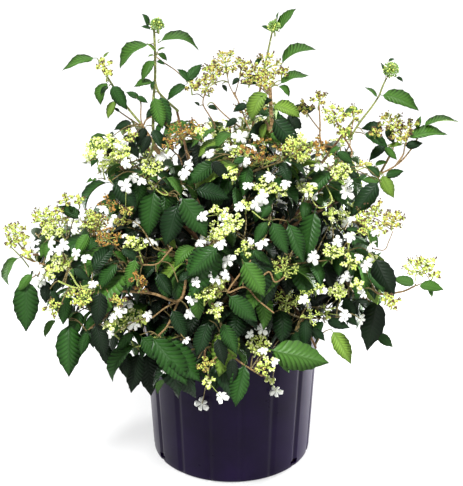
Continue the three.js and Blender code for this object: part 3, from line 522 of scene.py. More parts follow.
def seeded(seed):
    """A generator of numbers from 0 to 1, the same as the part's source has."""
    state = seed & 0xFFFFFFFF

    def number():
        nonlocal state
        state = (state + 0x6D2B79F5) & 0xFFFFFFFF
        t = state
        t = ((t ^ (t >> 15)) * (t | 1)) & 0xFFFFFFFF
        t ^= (t + (t ^ (t >> 7)) * (t | 61)) & 0xFFFFFFFF
        return ((t ^ (t >> 14)) & 0xFFFFFFFF) / 4294967296

    return number


# Limbs and their spaces


def trunk_path(t):
    return vec(TRUNK["lean"][0] * t * t, TRUNK["lean"][1] * t, MIX_TOP + JOINT_GAP + TRUNK["height"] * t)


def trunk_radius(t):
    return lerp(TRUNK["foot"], TRUNK["top"], t) + (TRUNK["flare"] - TRUNK["foot"]) * math.exp(-t * 9)


class Limb:
    """One bough and the stem that goes on from it through its mass."""

    def __init__(self, row, index, limbs):
        self.name, self.parent, at, form, azimuth, reach, height, self.heads = row
        self.index = index
        self.form = FORMS[form]
        parent = limbs.get(self.parent)
        self.end = place(azimuth, reach, height)
        self.start = parent.path(at) if parent else trunk_path(at)
        if self.parent == "trunk" and at == 1:
            self.start = self.start + place(azimuth, 5, -2)
        self.middle = lerp(self.start, self.end, 0.45) + UP * self.form.arch
        self.root = min(self.form.root, parent.radius(at) * 0.8) if parent else self.form.root
        self.site = self.path(self.form.hub[0]) + UP * self.form.hub[1]

    def path(self, t):
        return (1 - t) ** 2 * self.start + 2 * (1 - t) * t * self.middle + t * t * self.end

    def along(self, t):
        return unit(self.path(min(1, t + 1e-4)) - self.path(max(0, t - 1e-4)))

    def radius(self, t):
        return lerp(self.root, self.form.tip, t)

    def in_cell(self, points, over=-CELL_MARGIN):
        return bool(np.all(points @ self.normals.T < self.depths + over))


def bough_mesh(limb):
    """The bare bough as the source has it, for the test of what crosses it."""
    points = []
    for i in range(BOUGH_STEPS + 1):
        t = i / BOUGH_STEPS * limb.entry
        u, v = square_to(limb.along(t))
        points.append(ring_round(limb.path(t), u, v, [limb.radius(t)] * BOUGH_SIDES))
    return Solid(points)


class Solid:
    """A closed surface through rings of points, kept only to test what crosses it."""

    def __init__(self, rings):
        self.points = np.concatenate(rings)
        faces = []
        first = 0
        for ring, ahead in zip(rings, rings[1:]):
            a, b = len(ring), len(ahead)
            for i in range(max(a, b)):
                low = [first + i * a // max(a, b), first + (i + 1) * a // max(a, b) % a]
                high = [first + a + (i + 1) * b // max(a, b) % b, first + a + i * b // max(a, b)]
                faces.append(list(dict.fromkeys(low + high)))
            first += a
        faces += [list(range(len(rings[0]))), list(range(first, first + len(rings[-1])))]
        self.tree = BVHTree.FromPolygons(self.points.tolist(), [f for f in faces if len(f) > 2])
        self.low = self.points.min(0)
        self.high = self.points.max(0)


def crosses(solid, others):
    near = (other for other in others if np.all(solid.low < other.high) and np.all(solid.high > other.low))
    return any(solid.tree.overlap(other.tree) for other in near)


@functools.cache
def all_limbs():
    """Every limb, with the walls of its cell and the share of it that stays bare."""
    limbs = {}
    for index, row in enumerate(LIMBS):
        limbs[row[0]] = Limb(row, index, limbs)
    for limb in limbs.values():
        others = [other.site for other in limbs.values() if other is not limb]
        limb.normals = np.array([unit(site - limb.site) for site in others])
        middles = np.array([(site + limb.site) / 2 for site in others])
        limb.depths = (limb.normals * middles).sum(1)
    for limb in limbs.values():
        forks = [row[2] + FORK_ROOM for row in LIMBS if row[1] == limb.name]
        bare = max([limb.form.bare, *forks])
        t = 1
        while t > bare and limb.in_cell(limb.path(t - 0.01)):
            t -= 0.01
        limb.entry = t
        limb.spine = [limb.path(t * i / BOUGH_STEPS) for i in range(BOUGH_STEPS + 1)]
    return limbs


@functools.cache
def bare_segments():
    """The bare boughs' segments: where each starts, its run, and the room kept round it."""
    starts, runs, keeps = [], [], []
    for limb in all_limbs().values():
        for i in range(BOUGH_STEPS):
            starts.append(limb.spine[i])
            runs.append(limb.spine[i + 1] - limb.spine[i])
            keeps.append(limb.radius(limb.entry * i / BOUGH_STEPS) + LIMB_MARGIN)
    starts.append(trunk_path(0))
    runs.append(trunk_path(1) - trunk_path(0))
    keeps.append(TRUNK["flare"])
    runs = np.array(runs)
    return np.array(starts), runs, (runs**2).sum(1), np.array(keeps)


def clear_of_limbs(points):
    starts, runs, squares, keeps = bare_segments()
    to = points[:, None, :] - starts[None]
    t = np.clip((to * runs).sum(2) / squares, 0, 1)
    gap = to - t[..., None] * runs
    return bool(np.all((gap**2).sum(2) > keeps**2))


def wall_radius(height):
    return lerp(POT["foot"], POT["shoulder"], height / POT["shoulder_height"])


def inner_radius(height):
    return wall_radius(min(height, POT["shoulder_height"])) - POT["pleat"] - POT["wall"]


def clear_of_pot(points):
    out = np.hypot(points[:, 0], points[:, 1])
    z = points[:, 2]
    outside = (z > POT["height"] + POT_MARGIN) | (out > POT["rim"] + POT_MARGIN)
    inside = (out < inner_radius(POT["height"]) - POT_MARGIN) & (z > MIX_TOP + POT_MARGIN)
    return bool(np.all(np.where(outside, z > POT_MARGIN, inside)))


# What grows in a mass


def leaf_half(s):
    """Half the breadth of a solid leaf at a share of its length."""
    return LEAF_BREADTH / 2 * math.sin(math.pi * s**0.82) ** 0.8


LEAF_SAMPLES = np.repeat((0.2, 0.34, 0.5, 0.66, 0.82, 1), 3)
LEAF_HALVES = np.array([leaf_half(s) if s < 1 else 0 for s in LEAF_SAMPLES])
LEAF_NET = np.repeat(np.linspace(0.24, 0.97, 9), 5)
LEAF_NET_HALVES = np.tile((-0.9, -0.45, 0, 0.45, 0.9), 9) * np.array([leaf_half(s) for s in LEAF_NET])


def leaf_samples(length):
    halves = LEAF_HALVES * length + 2 * (LEAF_SAMPLES == 1)
    return LEAF_SAMPLES, halves * np.tile((-1, 0, 1), 6), np.tile((0.0, 1.0, 0.0), 6)


class Leaf:
    """A blade that bends down by its droop along its length."""

    def __init__(self, base, ahead, fall, length, droop, keel=1):
        self.base = base
        self.ahead = ahead
        self.fall = fall
        self.beside = cross(ahead, fall)
        self.length = length
        self.bend = max(math.radians(droop), 1e-3)
        self.keel = keel
        self.kind = None
        self.points = self.bent(*leaf_samples(length))

    def point(self, s, w, h):
        return self.bent(np.array([s]), np.array([w]), np.array([h]))[0]

    def bent(self, s, w, h):
        turn = self.bend * s
        reach = self.length / self.bend
        ahead = (reach + h) * np.sin(turn)
        fall = reach * (1 - np.cos(turn)) - h * np.cos(turn)
        way = np.outer(ahead, self.ahead)
        return self.base + way + np.outer(fall, self.fall) + np.outer(w, self.beside)

    def close_points(self):
        """Many points of the blade, to keep other leaves out of."""
        return self.bent(LEAF_NET, LEAF_NET_HALVES * self.length, np.zeros(len(LEAF_NET)))

    def solid(self):
        keel = self.keel
        root = [self.point(0.05, -3.5, 1), self.point(0.05, 0, -2.5 * keel), self.point(0.05, 3.5, 1)]
        rings = [np.array(root)]
        for s in (0.26, 0.62):
            half = leaf_half(s) * self.length
            across = [(s, -half, 0), (s, 0, -LEAF_THICKNESS * keel), (s, half, 0)]
            rings.append(np.array([self.point(*p) for p in across]))
        rings.append(np.array([self.point(1, 0, 0)]))
        return Solid(rings)


def grown_leaf(base, forward, roll, length, droop, keel):
    """A leaf that sets out forward and falls towards the ground."""
    ahead = unit(forward)
    down = unit(vec(0, 0, -1) + ahead * ahead[2])
    side = unit(cross(ahead, down))
    return Leaf(base, ahead, down * math.cos(roll) + side * math.sin(roll), length, droop, keel)


def leaf_between(base, tip, turn, droop):
    """A leaf from base to tip, turned away from facing the camera."""
    run = unit(tip - base)
    away = unit(base - EYE)
    away = unit(away - run * (away @ run))
    aside = cross(run, away)
    aside = -aside if aside[2] > 0 else aside
    turn = math.radians(turn)
    fall = away * math.cos(turn) + aside * math.sin(turn)
    half = math.radians(droop) / 2
    ahead = run * math.cos(half) - fall * math.sin(half)
    fall = fall * math.cos(half) + run * math.sin(half)
    length = np.linalg.norm(tip - base) * half / math.sin(half)
    return Leaf(base, ahead, fall, length, droop)


class Head:
    """A flower head: a stalk from the twig's tip and a flat dome on top."""

    def __init__(self, foot, axis, stalk, radius, kind):
        self.foot = foot
        self.axis = unit(axis)
        self.stalk = stalk
        self.radius = radius
        self.kind = kind
        self.top = foot + self.axis * stalk
        self.u, self.v = square_to(self.axis)
        self.own_florets = None
        reach = [HEAD_FLORETS if kind == "F" and i % 2 else 1 for i in range(HEAD_SIDES)]
        self.rim = ring_round(self.top, self.u, self.v, radius * np.array(reach))
        dome = self.rise(HEAD_DOME)
        self.points = np.concatenate([[dome, lerp(foot, self.top, 0.6)], self.rim])

    def rise(self, share):
        return self.top + self.axis * self.radius * share

    def close_points(self):
        rings = [ring_round(self.rise(0.1), self.u, self.v, [self.radius * r] * 8) for r in (0.5, 1)]
        under = ring_round(self.rise(-0.3), self.u, self.v, [self.radius * 0.5] * 4)
        return np.concatenate([*rings, under, [self.rise(0.35), lerp(self.foot, self.top, 0.5)]])

    def solid(self):
        foot = lerp(self.foot, self.top, 0.1)
        stalk = [ring_round(c, self.u, self.v, [PEDUNCLE] * 3) for c in (foot, self.rise(-0.2))]
        return Solid([*stalk, self.rim, np.array([self.rise(HEAD_DOME)])])


class Twig:
    """A side twig of a mass's stem, or a shoot of a twig."""

    def __init__(self, root, ahead, reach):
        self.root = root
        self.tip = root + unit(ahead) * reach
        self.points = np.array([lerp(self.root, self.tip, t) for t in (0.3, 0.55, 0.8)])
        self.head = None

    def at(self, share):
        return lerp(self.root, self.tip, share)

    def close_points(self):
        return self.root + np.outer(np.linspace(0.35, 1, 6), self.tip - self.root)

    def solid(self):
        return taper(self.at(0.06), self.tip, TWIG_ROOT, TWIG_TIP)


def taper(a, b, root, tip):
    u, v = square_to(unit(b - a))
    return Solid([ring_round(a, u, v, [root] * 3), ring_round(b, u, v, [tip] * 3)])


NEAR = [(0, 0, 0), (1, 0, 0), (-1, 0, 0), (0, 1, 0), (0, -1, 0), (0, 0, 1), (0, 0, -1)]


class Room:
    """The space that is taken so far, as small cubes."""

    def __init__(self, size):
        self.low = BOX[0] - ROOM_EDGE
        self.high = BOX[1] + ROOM_EDGE
        self.size = size
        self.taken = np.zeros(((self.high - self.low) / size).astype(int) + 3, bool)

    def cubes(self, points):
        cubes = ((points - self.low) / self.size).astype(int) + 1
        return np.clip(cubes, 1, np.array(self.taken.shape) - 2).T

    def take(self, points):
        i, j, k = self.cubes(points)
        for a, b, c in NEAR:
            self.taken[i + a, j + b, k + c] = True

    def free(self, points):
        i, j, k = self.cubes(points)
        return not self.taken[i, j, k].any()

    def holds(self, points):
        edge = ROOM_EDGE - 2
        return bool(np.all(points > self.low + edge) and np.all(points < self.high - edge))

    def depth(self, x, y):
        """How deep in the photograph the first thing is that shows at a pixel, or nothing."""
        points = EYE + np.outer(VIEW_DEPTHS, sight(x, y))
        inside = np.all((points > self.low) & (points < self.high), axis=1)
        i, j, k = self.cubes(points)
        hits = np.nonzero(inside & self.taken[i, j, k])[0]
        return VIEW_DEPTHS[hits[0]] if len(hits) else None

    def keep_in_view(self, points):
        """Takes the room between what is seen and the camera."""
        for near in range(0, VIEW_ROOM, 3):
            self.take(points + (EYE - points) * (near / SHRUB_DEPTH))


def sight(x, y):
    """The way from the eye through a pixel, one deep."""
    across = np.array((1.0, 0, 0)) * ((x - CENTRE[0]) / FOCAL)
    return AHEAD + across + LIFT * ((CENTRE[1] - y) / FOCAL)


def pixel_of(points):
    """Where points show in the photograph, and how deep."""
    to = points - EYE
    depth = to @ AHEAD
    return CENTRE[0] + FOCAL * to[..., 0] / depth, CENTRE[1] - FOCAL * (to @ LIFT) / depth, depth


@functools.cache
def covered():
    """Whether the shrub shows at each pixel, from its outline."""
    x, y = np.meshgrid(np.arange(PHOTO_WIDTH) + 0.5, np.arange(PHOTO_HEIGHT) + 0.5)
    inside = np.zeros(x.shape, bool)
    for (x0, y0), (x1, y1) in zip(OUTLINE, [*OUTLINE[1:], OUTLINE[0]]):
        if y0 != y1:
            inside ^= ((y0 > y) != (y1 > y)) & (x < (x1 - x0) * (y - y0) / (y1 - y0) + x0)
    return inside


def sky_share(points):
    """The share of the points that would show against the sky."""
    x, y, _ = pixel_of(points)
    x, y = x.astype(int), y.astype(int)
    in_x, in_y = np.clip(x, 0, PHOTO_WIDTH - 1), np.clip(y, 0, PHOTO_HEIGHT - 1)
    return 1 - np.mean(covered()[in_y, in_x] & (x == in_x) & (y == in_y))


def open_sky(mass):
    """Takes away what the source's rule grew where the photograph shows sky."""
    mass.leaves = [leaf for leaf in mass.leaves if sky_share(leaf.close_points()) < LEAF_SKY]
    mass.heads = [head for head in mass.heads if sky_share(head.close_points()) < HEAD_SKY]
    mass.twigs = [twig for twig in mass.twigs if sky_share(twig.close_points()) < HEAD_SKY]


class Carriers:
    """Points of all limbs and twigs that a sprig can grow from."""

    def __init__(self, masses):
        self.points = np.zeros((0, 3))
        self.owners = []
        for mass in masses:
            self.add([mass.limb.path(0.14 + 0.86 * i / 43) for i in range(44)], mass)
            for twig in mass.twigs:
                self.add([twig.at(0.2 + 0.8 * i / 5) for i in range(6)], mass)

    def add(self, points, mass):
        self.points = np.concatenate([self.points, points])
        self.owners += [mass] * len(points)
        self.x, self.y, self.depths = pixel_of(self.points)

    def depth(self, x, y):
        """The depth of the carrier that shows nearest to a pixel."""
        return self.depths[np.argmin((self.x - x) ** 2 + (self.y - y) ** 2)]

    def nearest(self, point):
        k = np.argmin(((self.points - point) ** 2).sum(1))
        return self.points[k], self.owners[k]


def seen_depth(room, carriers, pixels, before):
    """A little before the first thing that shows at any of the pixels, but inside the solids' box."""
    found = [depth for depth in (room.depth(*pixel) for pixel in pixels) if depth]
    depth = (min(found) if found else carriers.depth(*pixels[0])) - before
    return max(depth, (BOX[0][1] + 8 - EYE[1]) / sight(*pixels[0])[1])


def dress_front(masses, room):
    """Grows what is read off the photograph from the nearest twigs, before what shows there."""
    carriers = Carriers(masses)
    near = np.array([(x, y) for _, x, y, _ in SEEN_HEADS])
    for mass in masses:
        kept = []
        for head in mass.heads:
            x, y, _ = pixel_of(head.top)
            if head.top[1] > 30 or np.min((near[:, 0] - x) ** 2 + (near[:, 1] - y) ** 2) < 100:
                kept.append(head)
        mass.heads = kept
    placed = [put_stem(carriers, room, *row) for row in SEEN_STEMS]
    for way in placed:
        room.take(way)
    leaves = [put_leaf(carriers, room, n, *row) for n, row in enumerate(SEEN_LEAVES)]
    for leaf in leaves:
        placed.append(leaf.close_points())
        room.take(placed[-1])
    heads = []
    for n, row in enumerate(SEEN_HEADS):
        heads.append(put_head(carriers, room, n, *row))
        placed.append(heads[-1].close_points())
        room.take(placed[-1])
    for n, row in enumerate(SEEN_FLORETS):
        put_floret(carriers, room, heads, n, *row)
    for points in placed:
        room.keep_in_view(points)


def seen_place(room, carriers, x, y, beside, below, before):
    """Where something stands that shows round a pixel, and its depth."""
    around = [(x, y), (x - beside, y), (x + beside, y), (x, y + below)]
    depth = seen_depth(room, carriers, around, before)
    return EYE + depth * sight(x, y), depth


def put_stem(carriers, room, finish, radius, *pixels):
    depth = seen_depth(room, carriers, pixels, 3)
    points = [EYE + depth * sight(*pixel) for pixel in pixels]
    root, mass = carriers.nearest(points[0])
    mass.seen_stems.append((finish, radius, root, points))
    way = np.array(smooth(points, 8))
    carriers.add(way, mass)
    return way


def put_leaf(carriers, room, n, x, y, tip_x, tip_y, turn, droop, kind):
    steps = [(lerp(x, tip_x, t), lerp(y, tip_y, t)) for t in (0.1, 0.35, 0.6, 0.85, 1)]
    dx, dy = (tip_y - y) * 0.22, (x - tip_x) * 0.22
    sides = [(steps[2][0] + dx * s, steps[2][1] + dy * s) for s in (-1, 1)]
    depth = seen_depth(room, carriers, [*steps, *sides], 5)
    leaf = leaf_between(EYE + depth * sight(x, y), EYE + (depth - 4) * sight(tip_x, tip_y), turn, droop)
    leaf.kind = "SGLYD".index(kind)
    leaf.spray = 0
    leaf.seed = 40000 + 7 * n
    root, mass = carriers.nearest(leaf.base)
    mass.leaves.append(leaf)
    mass.links.append((root, leaf.base))
    return leaf


def put_head(carriers, room, n, kind, x, y, size):
    random = seeded(6000 + n)
    top, depth = seen_place(room, carriers, x, y, 0.6 * size, 0.5 * size, 7)
    radius = 1.08 * size * depth / FOCAL
    axis = UP + level(EYE - top) * (0.35 + 0.5 * random())
    axis[0] += (random() - 0.5) * 0.5
    axis = unit(axis)
    stalk = 10 + 0.9 * radius
    head = Head(top - axis * stalk, axis, stalk, radius, kind)
    head.seed = 60000 + 11 * n
    head.own_florets = []
    root, mass = carriers.nearest(head.foot)
    mass.heads.append(head)
    mass.links.append((root, head.foot))
    return head


def put_floret(carriers, room, heads, n, x, y, size):
    random = seeded(8000 + n)
    at, depth = seen_place(room, carriers, x, y, 0.5 * size, 0.5 * size, 4)
    normal = level(EYE - at) * (0.1 + 0.9 * random()) + UP * (0.2 + 0.8 * random())
    normal[0] += 1.4 * (random() - 0.5)
    normal = unit(normal)
    gaps = [np.linalg.norm(head.top - at) for head in heads]
    head = heads[np.argmin(gaps)]
    near = min(gaps) < 34
    head.own_florets.append(([*at, *normal, size * depth / FOCAL, ANY_TURN * random()], near))
    if not near:
        root, mass = carriers.nearest(at)
        mass.links.append((root, at - normal * 0.5))


@functools.cache
def bough_solids():
    return [bough_mesh(limb) for limb in all_limbs().values()]


class Mass:
    """All that grows on one limb inside its cell."""

    def __init__(self, limb):
        self.limb = limb
        self.taken = np.array([limb.path(lerp(limb.entry, 1, s)) for s in (0.25, 0.5, 0.75)])
        self.solids = []
        for low, high in ((0, 0.35), (0.35, 0.7), (0.7, 1)):
            a, b = (limb.path(lerp(limb.entry, 1, s)) for s in (low, high))
            self.solids.append(taper(a, b, STEM_CORE, STEM_CORE))
        self.twigs = []
        self.shoots = []
        self.seen_stems = []
        self.links = []
        self.leaves = []
        self.heads = []

    def first_fit(self, make, room=None):
        """The first try that fits, stands apart from the rest and crosses nothing, or nothing."""
        if room:
            return self.first_fine_fit(make, room)
        for k in range(TRIES):
            made = make(k)
            points = made.points
            if not self.limb.in_cell(points) or not clear_of_pot(points):
                continue
            gaps = points[:, None, :] - self.taken[None]
            if (gaps**2).sum(2).min() <= LEAF_SPACING**2 or not clear_of_limbs(points):
                continue
            solid = made.solid()
            if crosses(solid, self.solids) or crosses(solid, bough_solids()):
                continue
            self.solids.append(solid)
            self.taken = np.concatenate([self.taken, points])
            return made
        return None

    def first_fine_fit(self, make, room):
        """The same for what only the scene has: in the free room, and a little past the cell's walls."""
        for k in range(FINE_TRIES):
            made = make(k)
            points = made.close_points()
            if room.free(points) and room.holds(points) and clear_of_pot(points):
                if self.limb.in_cell(points, FINE_OVER) and sky_share(points) < FINE_SKY:
                    return made
        return None

    def grow_leaf(self, seed, base, forward, scale, keel, spray, room=None):
        random = seeded(seed)
        form = self.limb.form

        def make(k):
            ahead = turned(forward, (random() - 0.5) * (0.3 + 0.05 * k))
            ahead[2] += (random() - 0.6) * 0.4
            length = form.leaf * scale * (0.86 + 0.28 * random()) * (1 - 0.05 * k)
            roll = (random() - 0.5) * 0.7
            return grown_leaf(base, ahead, roll, length, form.droop * (0.7 + 0.6 * random()), keel)

        leaf = self.first_fit(make, room)
        if leaf:
            leaf.spray = spray
            leaf.seed = seed
            self.leaves.append(leaf)
        return leaf

    def grow_pair(self, seed, base, along, scale, spray, steep=None, room=None):
        side = side_of(along)
        keel = -1 if (along[2] if steep is None else steep) > STEEP else 1
        grown = []
        for sign in (1, -1):
            forward = along * 0.5 + side * sign * 0.85
            grown.append(self.grow_leaf(seed + sign, base, forward, scale, keel, spray, room))
        return [leaf for leaf in grown if leaf]

    def grow_head(self, seed, foot, outward, kind, size=1, room=None):
        if kind == ".":
            return None
        random = seeded(seed)
        form = self.limb.form

        def make(k):
            axis = outward * (0.8 if room else 0.5) * random() + UP
            axis[0] += (random() - 0.5) * 0.12 * (k + 2)
            axis[1] += (random() - 0.5) * 0.12 * (k + 2)
            grown = size * (0.88 + 0.24 * random()) * (1 - 0.05 * k)
            return Head(foot, axis, form.stalk * grown, form.head * grown, kind)

        head = self.first_fit(make, room)
        if head:
            head.seed = seed
            self.heads.append(head)
        return head

    def grow_twig(self, seed, root, direction, reach, room=None):
        random = seeded(seed)

        def make(k):
            ahead = turned(direction, (random() - 0.5) * (0.25 + 0.1 * k))
            ahead[2] += (random() - 0.5) * 0.3
            return Twig(root, ahead, reach * (0.8 + 0.4 * random()) * (1 - 0.08 * k))

        return self.first_fit(make, room)


def grow_mass(limb):
    """The source's rule: all twigs, then the heads, then the leaves."""
    form = limb.form
    mass = Mass(limb)

    def seed_of(kind, i):
        return 1000 * (limb.index + 1) + 100 * kind + 5 * i

    outward = level(limb.end)
    pairs = []
    for i in range(form.nodes):
        t = lerp(limb.entry, 1, (i + 0.3) / (form.nodes + 0.1))
        spare = lerp(limb.entry, 1, (i + (0.8 if form.twig else 0.3)) / (form.nodes + 0.1))
        if form.twig:
            along = limb.along(t)
            for sign in (1, -1):
                order = 2 * i + (1 if sign > 0 else 0)
                lift = 0.15 if (order + limb.index) % 2 else 0.75
                direction = along * 0.35 + side_of(along) * sign * 0.8 + UP * lift
                twig = mass.grow_twig(seed_of(2, order), limb.path(t), direction, form.twig)
                if twig:
                    twig.order = order
                    mass.twigs.append(twig)
        pairs.append((i, spare))
    for twig in mass.twigs:
        kind = limb.heads[twig.order % (len(limb.heads) - 1)]
        mass.grow_head(seed_of(5, twig.order), twig.tip, outward, kind)
    mass.grow_head(seed_of(7, 0), limb.end, outward, limb.heads[-1])
    mass.grow_pair(seed_of(6, 0), limb.end, limb.along(0.98), 1 if form.twig else 0.8, END_SPRAY)
    for twig in mass.twigs:
        ahead = level(twig.tip - twig.root)
        mass.grow_pair(seed_of(3, twig.order), twig.tip, ahead, 1, twig.order)
        mass.grow_pair(seed_of(4, twig.order), twig.at(0.5), ahead, 0.9, twig.order)
    for i, share in pairs:
        along = level(limb.along(share))
        if not form.twig and i % 2:
            along = turned(along, 1.3)
        mass.grow_pair(seed_of(1, i), limb.path(share), along, 1, 50 + i, steep=limb.along(share)[2])
    return mass


def take_room(room, mass):
    """Marks all that the mass has from the source's rule."""
    for made in (*mass.leaves, *mass.heads, *mass.twigs):
        room.take(made.close_points())
    limb = mass.limb
    for i in range(90):
        point = limb.path(i / 89)
        u, v = square_to(limb.along(i / 89))
        room.take(ring_round(point, u, v, [limb.radius(i / 89)] * 4))


def take_pot(room):
    for height in range(2, POT["height"] + 1, 3):
        radius = wall_radius(height) if height < POT["shoulder_height"] else POT["rim"]
        room.take(ring_round(vec(0, 0, height), vec(1, 0, 0), vec(0, 1, 0), [radius] * 300))


def grow_shoot(mass, room, seed, root, direction, reach, spray, kind, size):
    """A short shoot with a pair of leaves at its tip, one part way, and a head or none."""
    shoot = mass.grow_twig(seed, root, direction, reach, room)
    if not shoot:
        return
    ahead = level(shoot.tip - shoot.root)
    outward = level(shoot.tip - trunk_path(1))
    if shoot.tip[1] < 20:
        kind = "."
    head = mass.grow_head(seed + 1, shoot.tip, outward, kind, size, room)
    if head:
        room.take(head.close_points())
    grown = []
    for share, scale in ((1, 0.86), (0.5, 0.74)):
        pair = mass.grow_pair(seed + 2 + int(4 * share), shoot.at(share), ahead, scale, spray, room=room)
        for leaf in pair:
            room.take(leaf.close_points())
        grown += pair
    if grown or head:
        room.take(shoot.close_points())
        mass.shoots.append(shoot)


def fill_out(mass, room):
    """Finer shoots, leaves and heads than the solids have, by the same rule in the same reach."""
    limb = mass.limb
    form = limb.form
    kinds = [kind for kind in limb.heads if kind not in ".B"] or ["F"]
    random = seeded(777 + limb.index)
    seed = 500000 + 20000 * limb.index

    def kind():
        return kinds[int(random() * len(kinds))] if random() < 0.5 else "."

    def size():
        return 0.62 + 0.24 * random()

    if not form.twig:
        for i in range(5):
            seed += 20
            at = lerp(limb.entry, 0.93, i / 4)
            direction = turned(level(limb.end), 2.4 * i) + UP * 0.5
            grow_shoot(mass, room, seed, limb.path(at), direction, 16, 50 + i, ".", 1)
        return
    for twig in mass.twigs:
        ahead = level(twig.tip - twig.root)
        for share, rise in ((0.85, 0.5), (0.62, -0.2), (0.4, 0.6), (0.2, 0)):
            for sign in (1, -1):
                seed += 20
                direction = ahead * 0.5 + side_of(ahead) * sign * 0.8 + UP * rise
                spray = 100 + twig.order
                grow_shoot(mass, room, seed, twig.at(share), direction, 28, spray, kind(), size())
    first = max(0.16, limb.entry - 0.22)
    for i in range(4 * form.nodes):
        t = lerp(first, 1, (i + 0.5) / (4 * form.nodes))
        along = limb.along(t)
        for sign, rise in ((1, 0.9), (-1, 0.9), (1, 0.1), (-1, 0.1), (1, -0.7), (-1, -0.7)):
            seed += 20
            direction = along * 0.3 + side_of(along) * sign * 0.6 + UP * rise
            reach = 30 + 26 * random()
            grow_shoot(mass, room, seed, limb.path(t), direction, reach, 200 + i, kind(), size())
    for twig in mass.twigs:
        ahead = level(twig.tip - twig.root)
        for share in (0.3, 0.7, 0.9):
            seed += 20
            for leaf in mass.grow_pair(seed, twig.at(share), ahead, 0.8, twig.order, room=room):
                room.take(leaf.close_points())


@functools.cache
def shrub():
    room = Room(bpy.context.scene.shrub_settings.fine_spacing / MM)
    masses = [grow_mass(limb) for limb in all_limbs().values()]
    for mass in masses:
        open_sky(mass)
        take_room(room, mass)
    take_pot(room)
    dress_front(masses, room)
    for mass in masses:
        fill_out(mass, room)
    return masses


# Meshes from arrays


class Template:
    """A small closed shape: its points, the points of its faces, each face's finish, and its map."""

    def __init__(self, bm, mapped=False):
        bmesh.ops.recalc_face_normals(bm, faces=bm.faces)
        bm.verts.index_update()
        self.points = np.array([v.co for v in bm.verts], float)
        self.loops = np.array([v.index for f in bm.faces for v in f.verts])
        self.counts = np.array([len(f.verts) for f in bm.faces])
        self.finish = np.array([f.material_index for f in bm.faces])
        self.map = self.points[:, :2] * mapped
        bm.free()


def joined(name, parts, materials):
    """One piece from parts: the points of the copies, their template and the finish of each or of all."""
    points, loops, counts, finish, uvs = [], [], [], [], []
    first = 0
    for placed, template, dealt in parts:
        n = len(placed)
        if not n:
            continue
        size = len(template.points)
        points.append(placed.reshape(-1, 3))
        steps = first + size * np.arange(n)
        loops.append((steps[:, None] + template.loops).ravel())
        counts.append(np.tile(template.counts, n))
        finish.append((np.broadcast_to(dealt, n)[:, None] + template.finish).ravel())
        uvs.append(np.tile(template.map[template.loops], (n, 1)))
        first += size * n
    mesh = bpy.data.meshes.new(name)
    loops, counts = np.concatenate(loops), np.concatenate(counts)
    mesh.vertices.add(first)
    mesh.vertices.foreach_set("co", (np.concatenate(points) * MM).astype(np.float32).ravel())
    mesh.loops.add(len(loops))
    mesh.loops.foreach_set("vertex_index", loops.astype(np.int32))
    mesh.polygons.add(len(counts))
    starts = np.concatenate([[0], np.cumsum(counts)[:-1]])
    mesh.polygons.foreach_set("loop_start", starts.astype(np.int32))
    mesh.polygons.foreach_set("material_index", np.concatenate(finish).astype(np.int32))
    layer = mesh.uv_layers.new(name="blade")
    layer.data.foreach_set("uv", np.concatenate(uvs).astype(np.float32).ravel())
    mesh.update(calc_edges=True)
    mesh.validate()
    return piece_of(mesh, materials)


def piece_of(mesh, materials):
    mesh.shade_smooth()
    for material in materials:
        mesh.materials.append(material)
    piece = bpy.data.objects.new(mesh.name, mesh)
    bpy.context.scene.collection.objects.link(piece)
    return piece


def drawn_piece(name, bm, material):
    mesh = bpy.data.meshes.new(name)
    bm.to_mesh(mesh)
    bm.free()
    return piece_of(mesh, [material])


def lathed(profile, steps):
    """A surface turned from radii and heights in mm."""
    bm = bmesh.new()
    verts = [bm.verts.new((r * MM, 0, z * MM)) for r, z in profile]
    edges = [bm.edges.new(pair) for pair in zip(verts, verts[1:])]
    bmesh.ops.spin(
        bm,
        geom=verts + edges,
        axis=(0, 0, 1),
        cent=(0, 0, 0),
        angle=2 * math.pi,
        steps=steps,
        use_merge=True,
    )
    bmesh.ops.remove_doubles(bm, verts=bm.verts, dist=WELD)
    return bm


def settle(piece, nodes):
    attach(piece, "root")
    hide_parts(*nodes)


@functools.cache
def bar_template(sides):
    """A bar of unit length and radius along Z, closed at both ends."""
    bm = bmesh.new()
    bmesh.ops.create_cone(bm, cap_ends=True, segments=sides, radius1=1, radius2=1, depth=1)
    bmesh.ops.translate(bm, vec=(0, 0, 0.5), verts=bm.verts)
    return Template(bm)


def bars(segments, sides, finish):
    """A part of tapered bars between pairs of points: rows of two points and two radii."""
    template = bar_template(sides)
    rows = np.array(segments, float).reshape(-1, 8)
    a, b, low, high = rows[:, :3], rows[:, 3:6], rows[:, 6], rows[:, 7]
    along = b - a
    along /= np.linalg.norm(along, axis=1)[:, None]
    u, v = square_to_each(along)
    x, y, z = template.points.T
    radius = low[:, None] * (1 - z) + high[:, None] * z
    centre = a[:, None] * (1 - z)[None, :, None] + b[:, None] * z[None, :, None]
    placed = centre + u[:, None] * (x * radius)[..., None] + v[:, None] * (y * radius)[..., None]
    return placed, template, finish


def smooth(points, steps):
    """A smooth way through all the points."""
    ends = [points[0] * 2 - points[1], *points, points[-1] * 2 - points[-2]]
    way = [points[0]]
    for p, q, r, s in zip(ends, ends[1:], ends[2:], ends[3:]):
        for i in range(1, steps + 1):
            t = i / steps
            bow = (2 * p - 5 * q + 4 * r - s) * t * t + (3 * q - p - 3 * r + s) * t**3
            way.append(q + ((r - p) * t + bow) / 2)
    return way


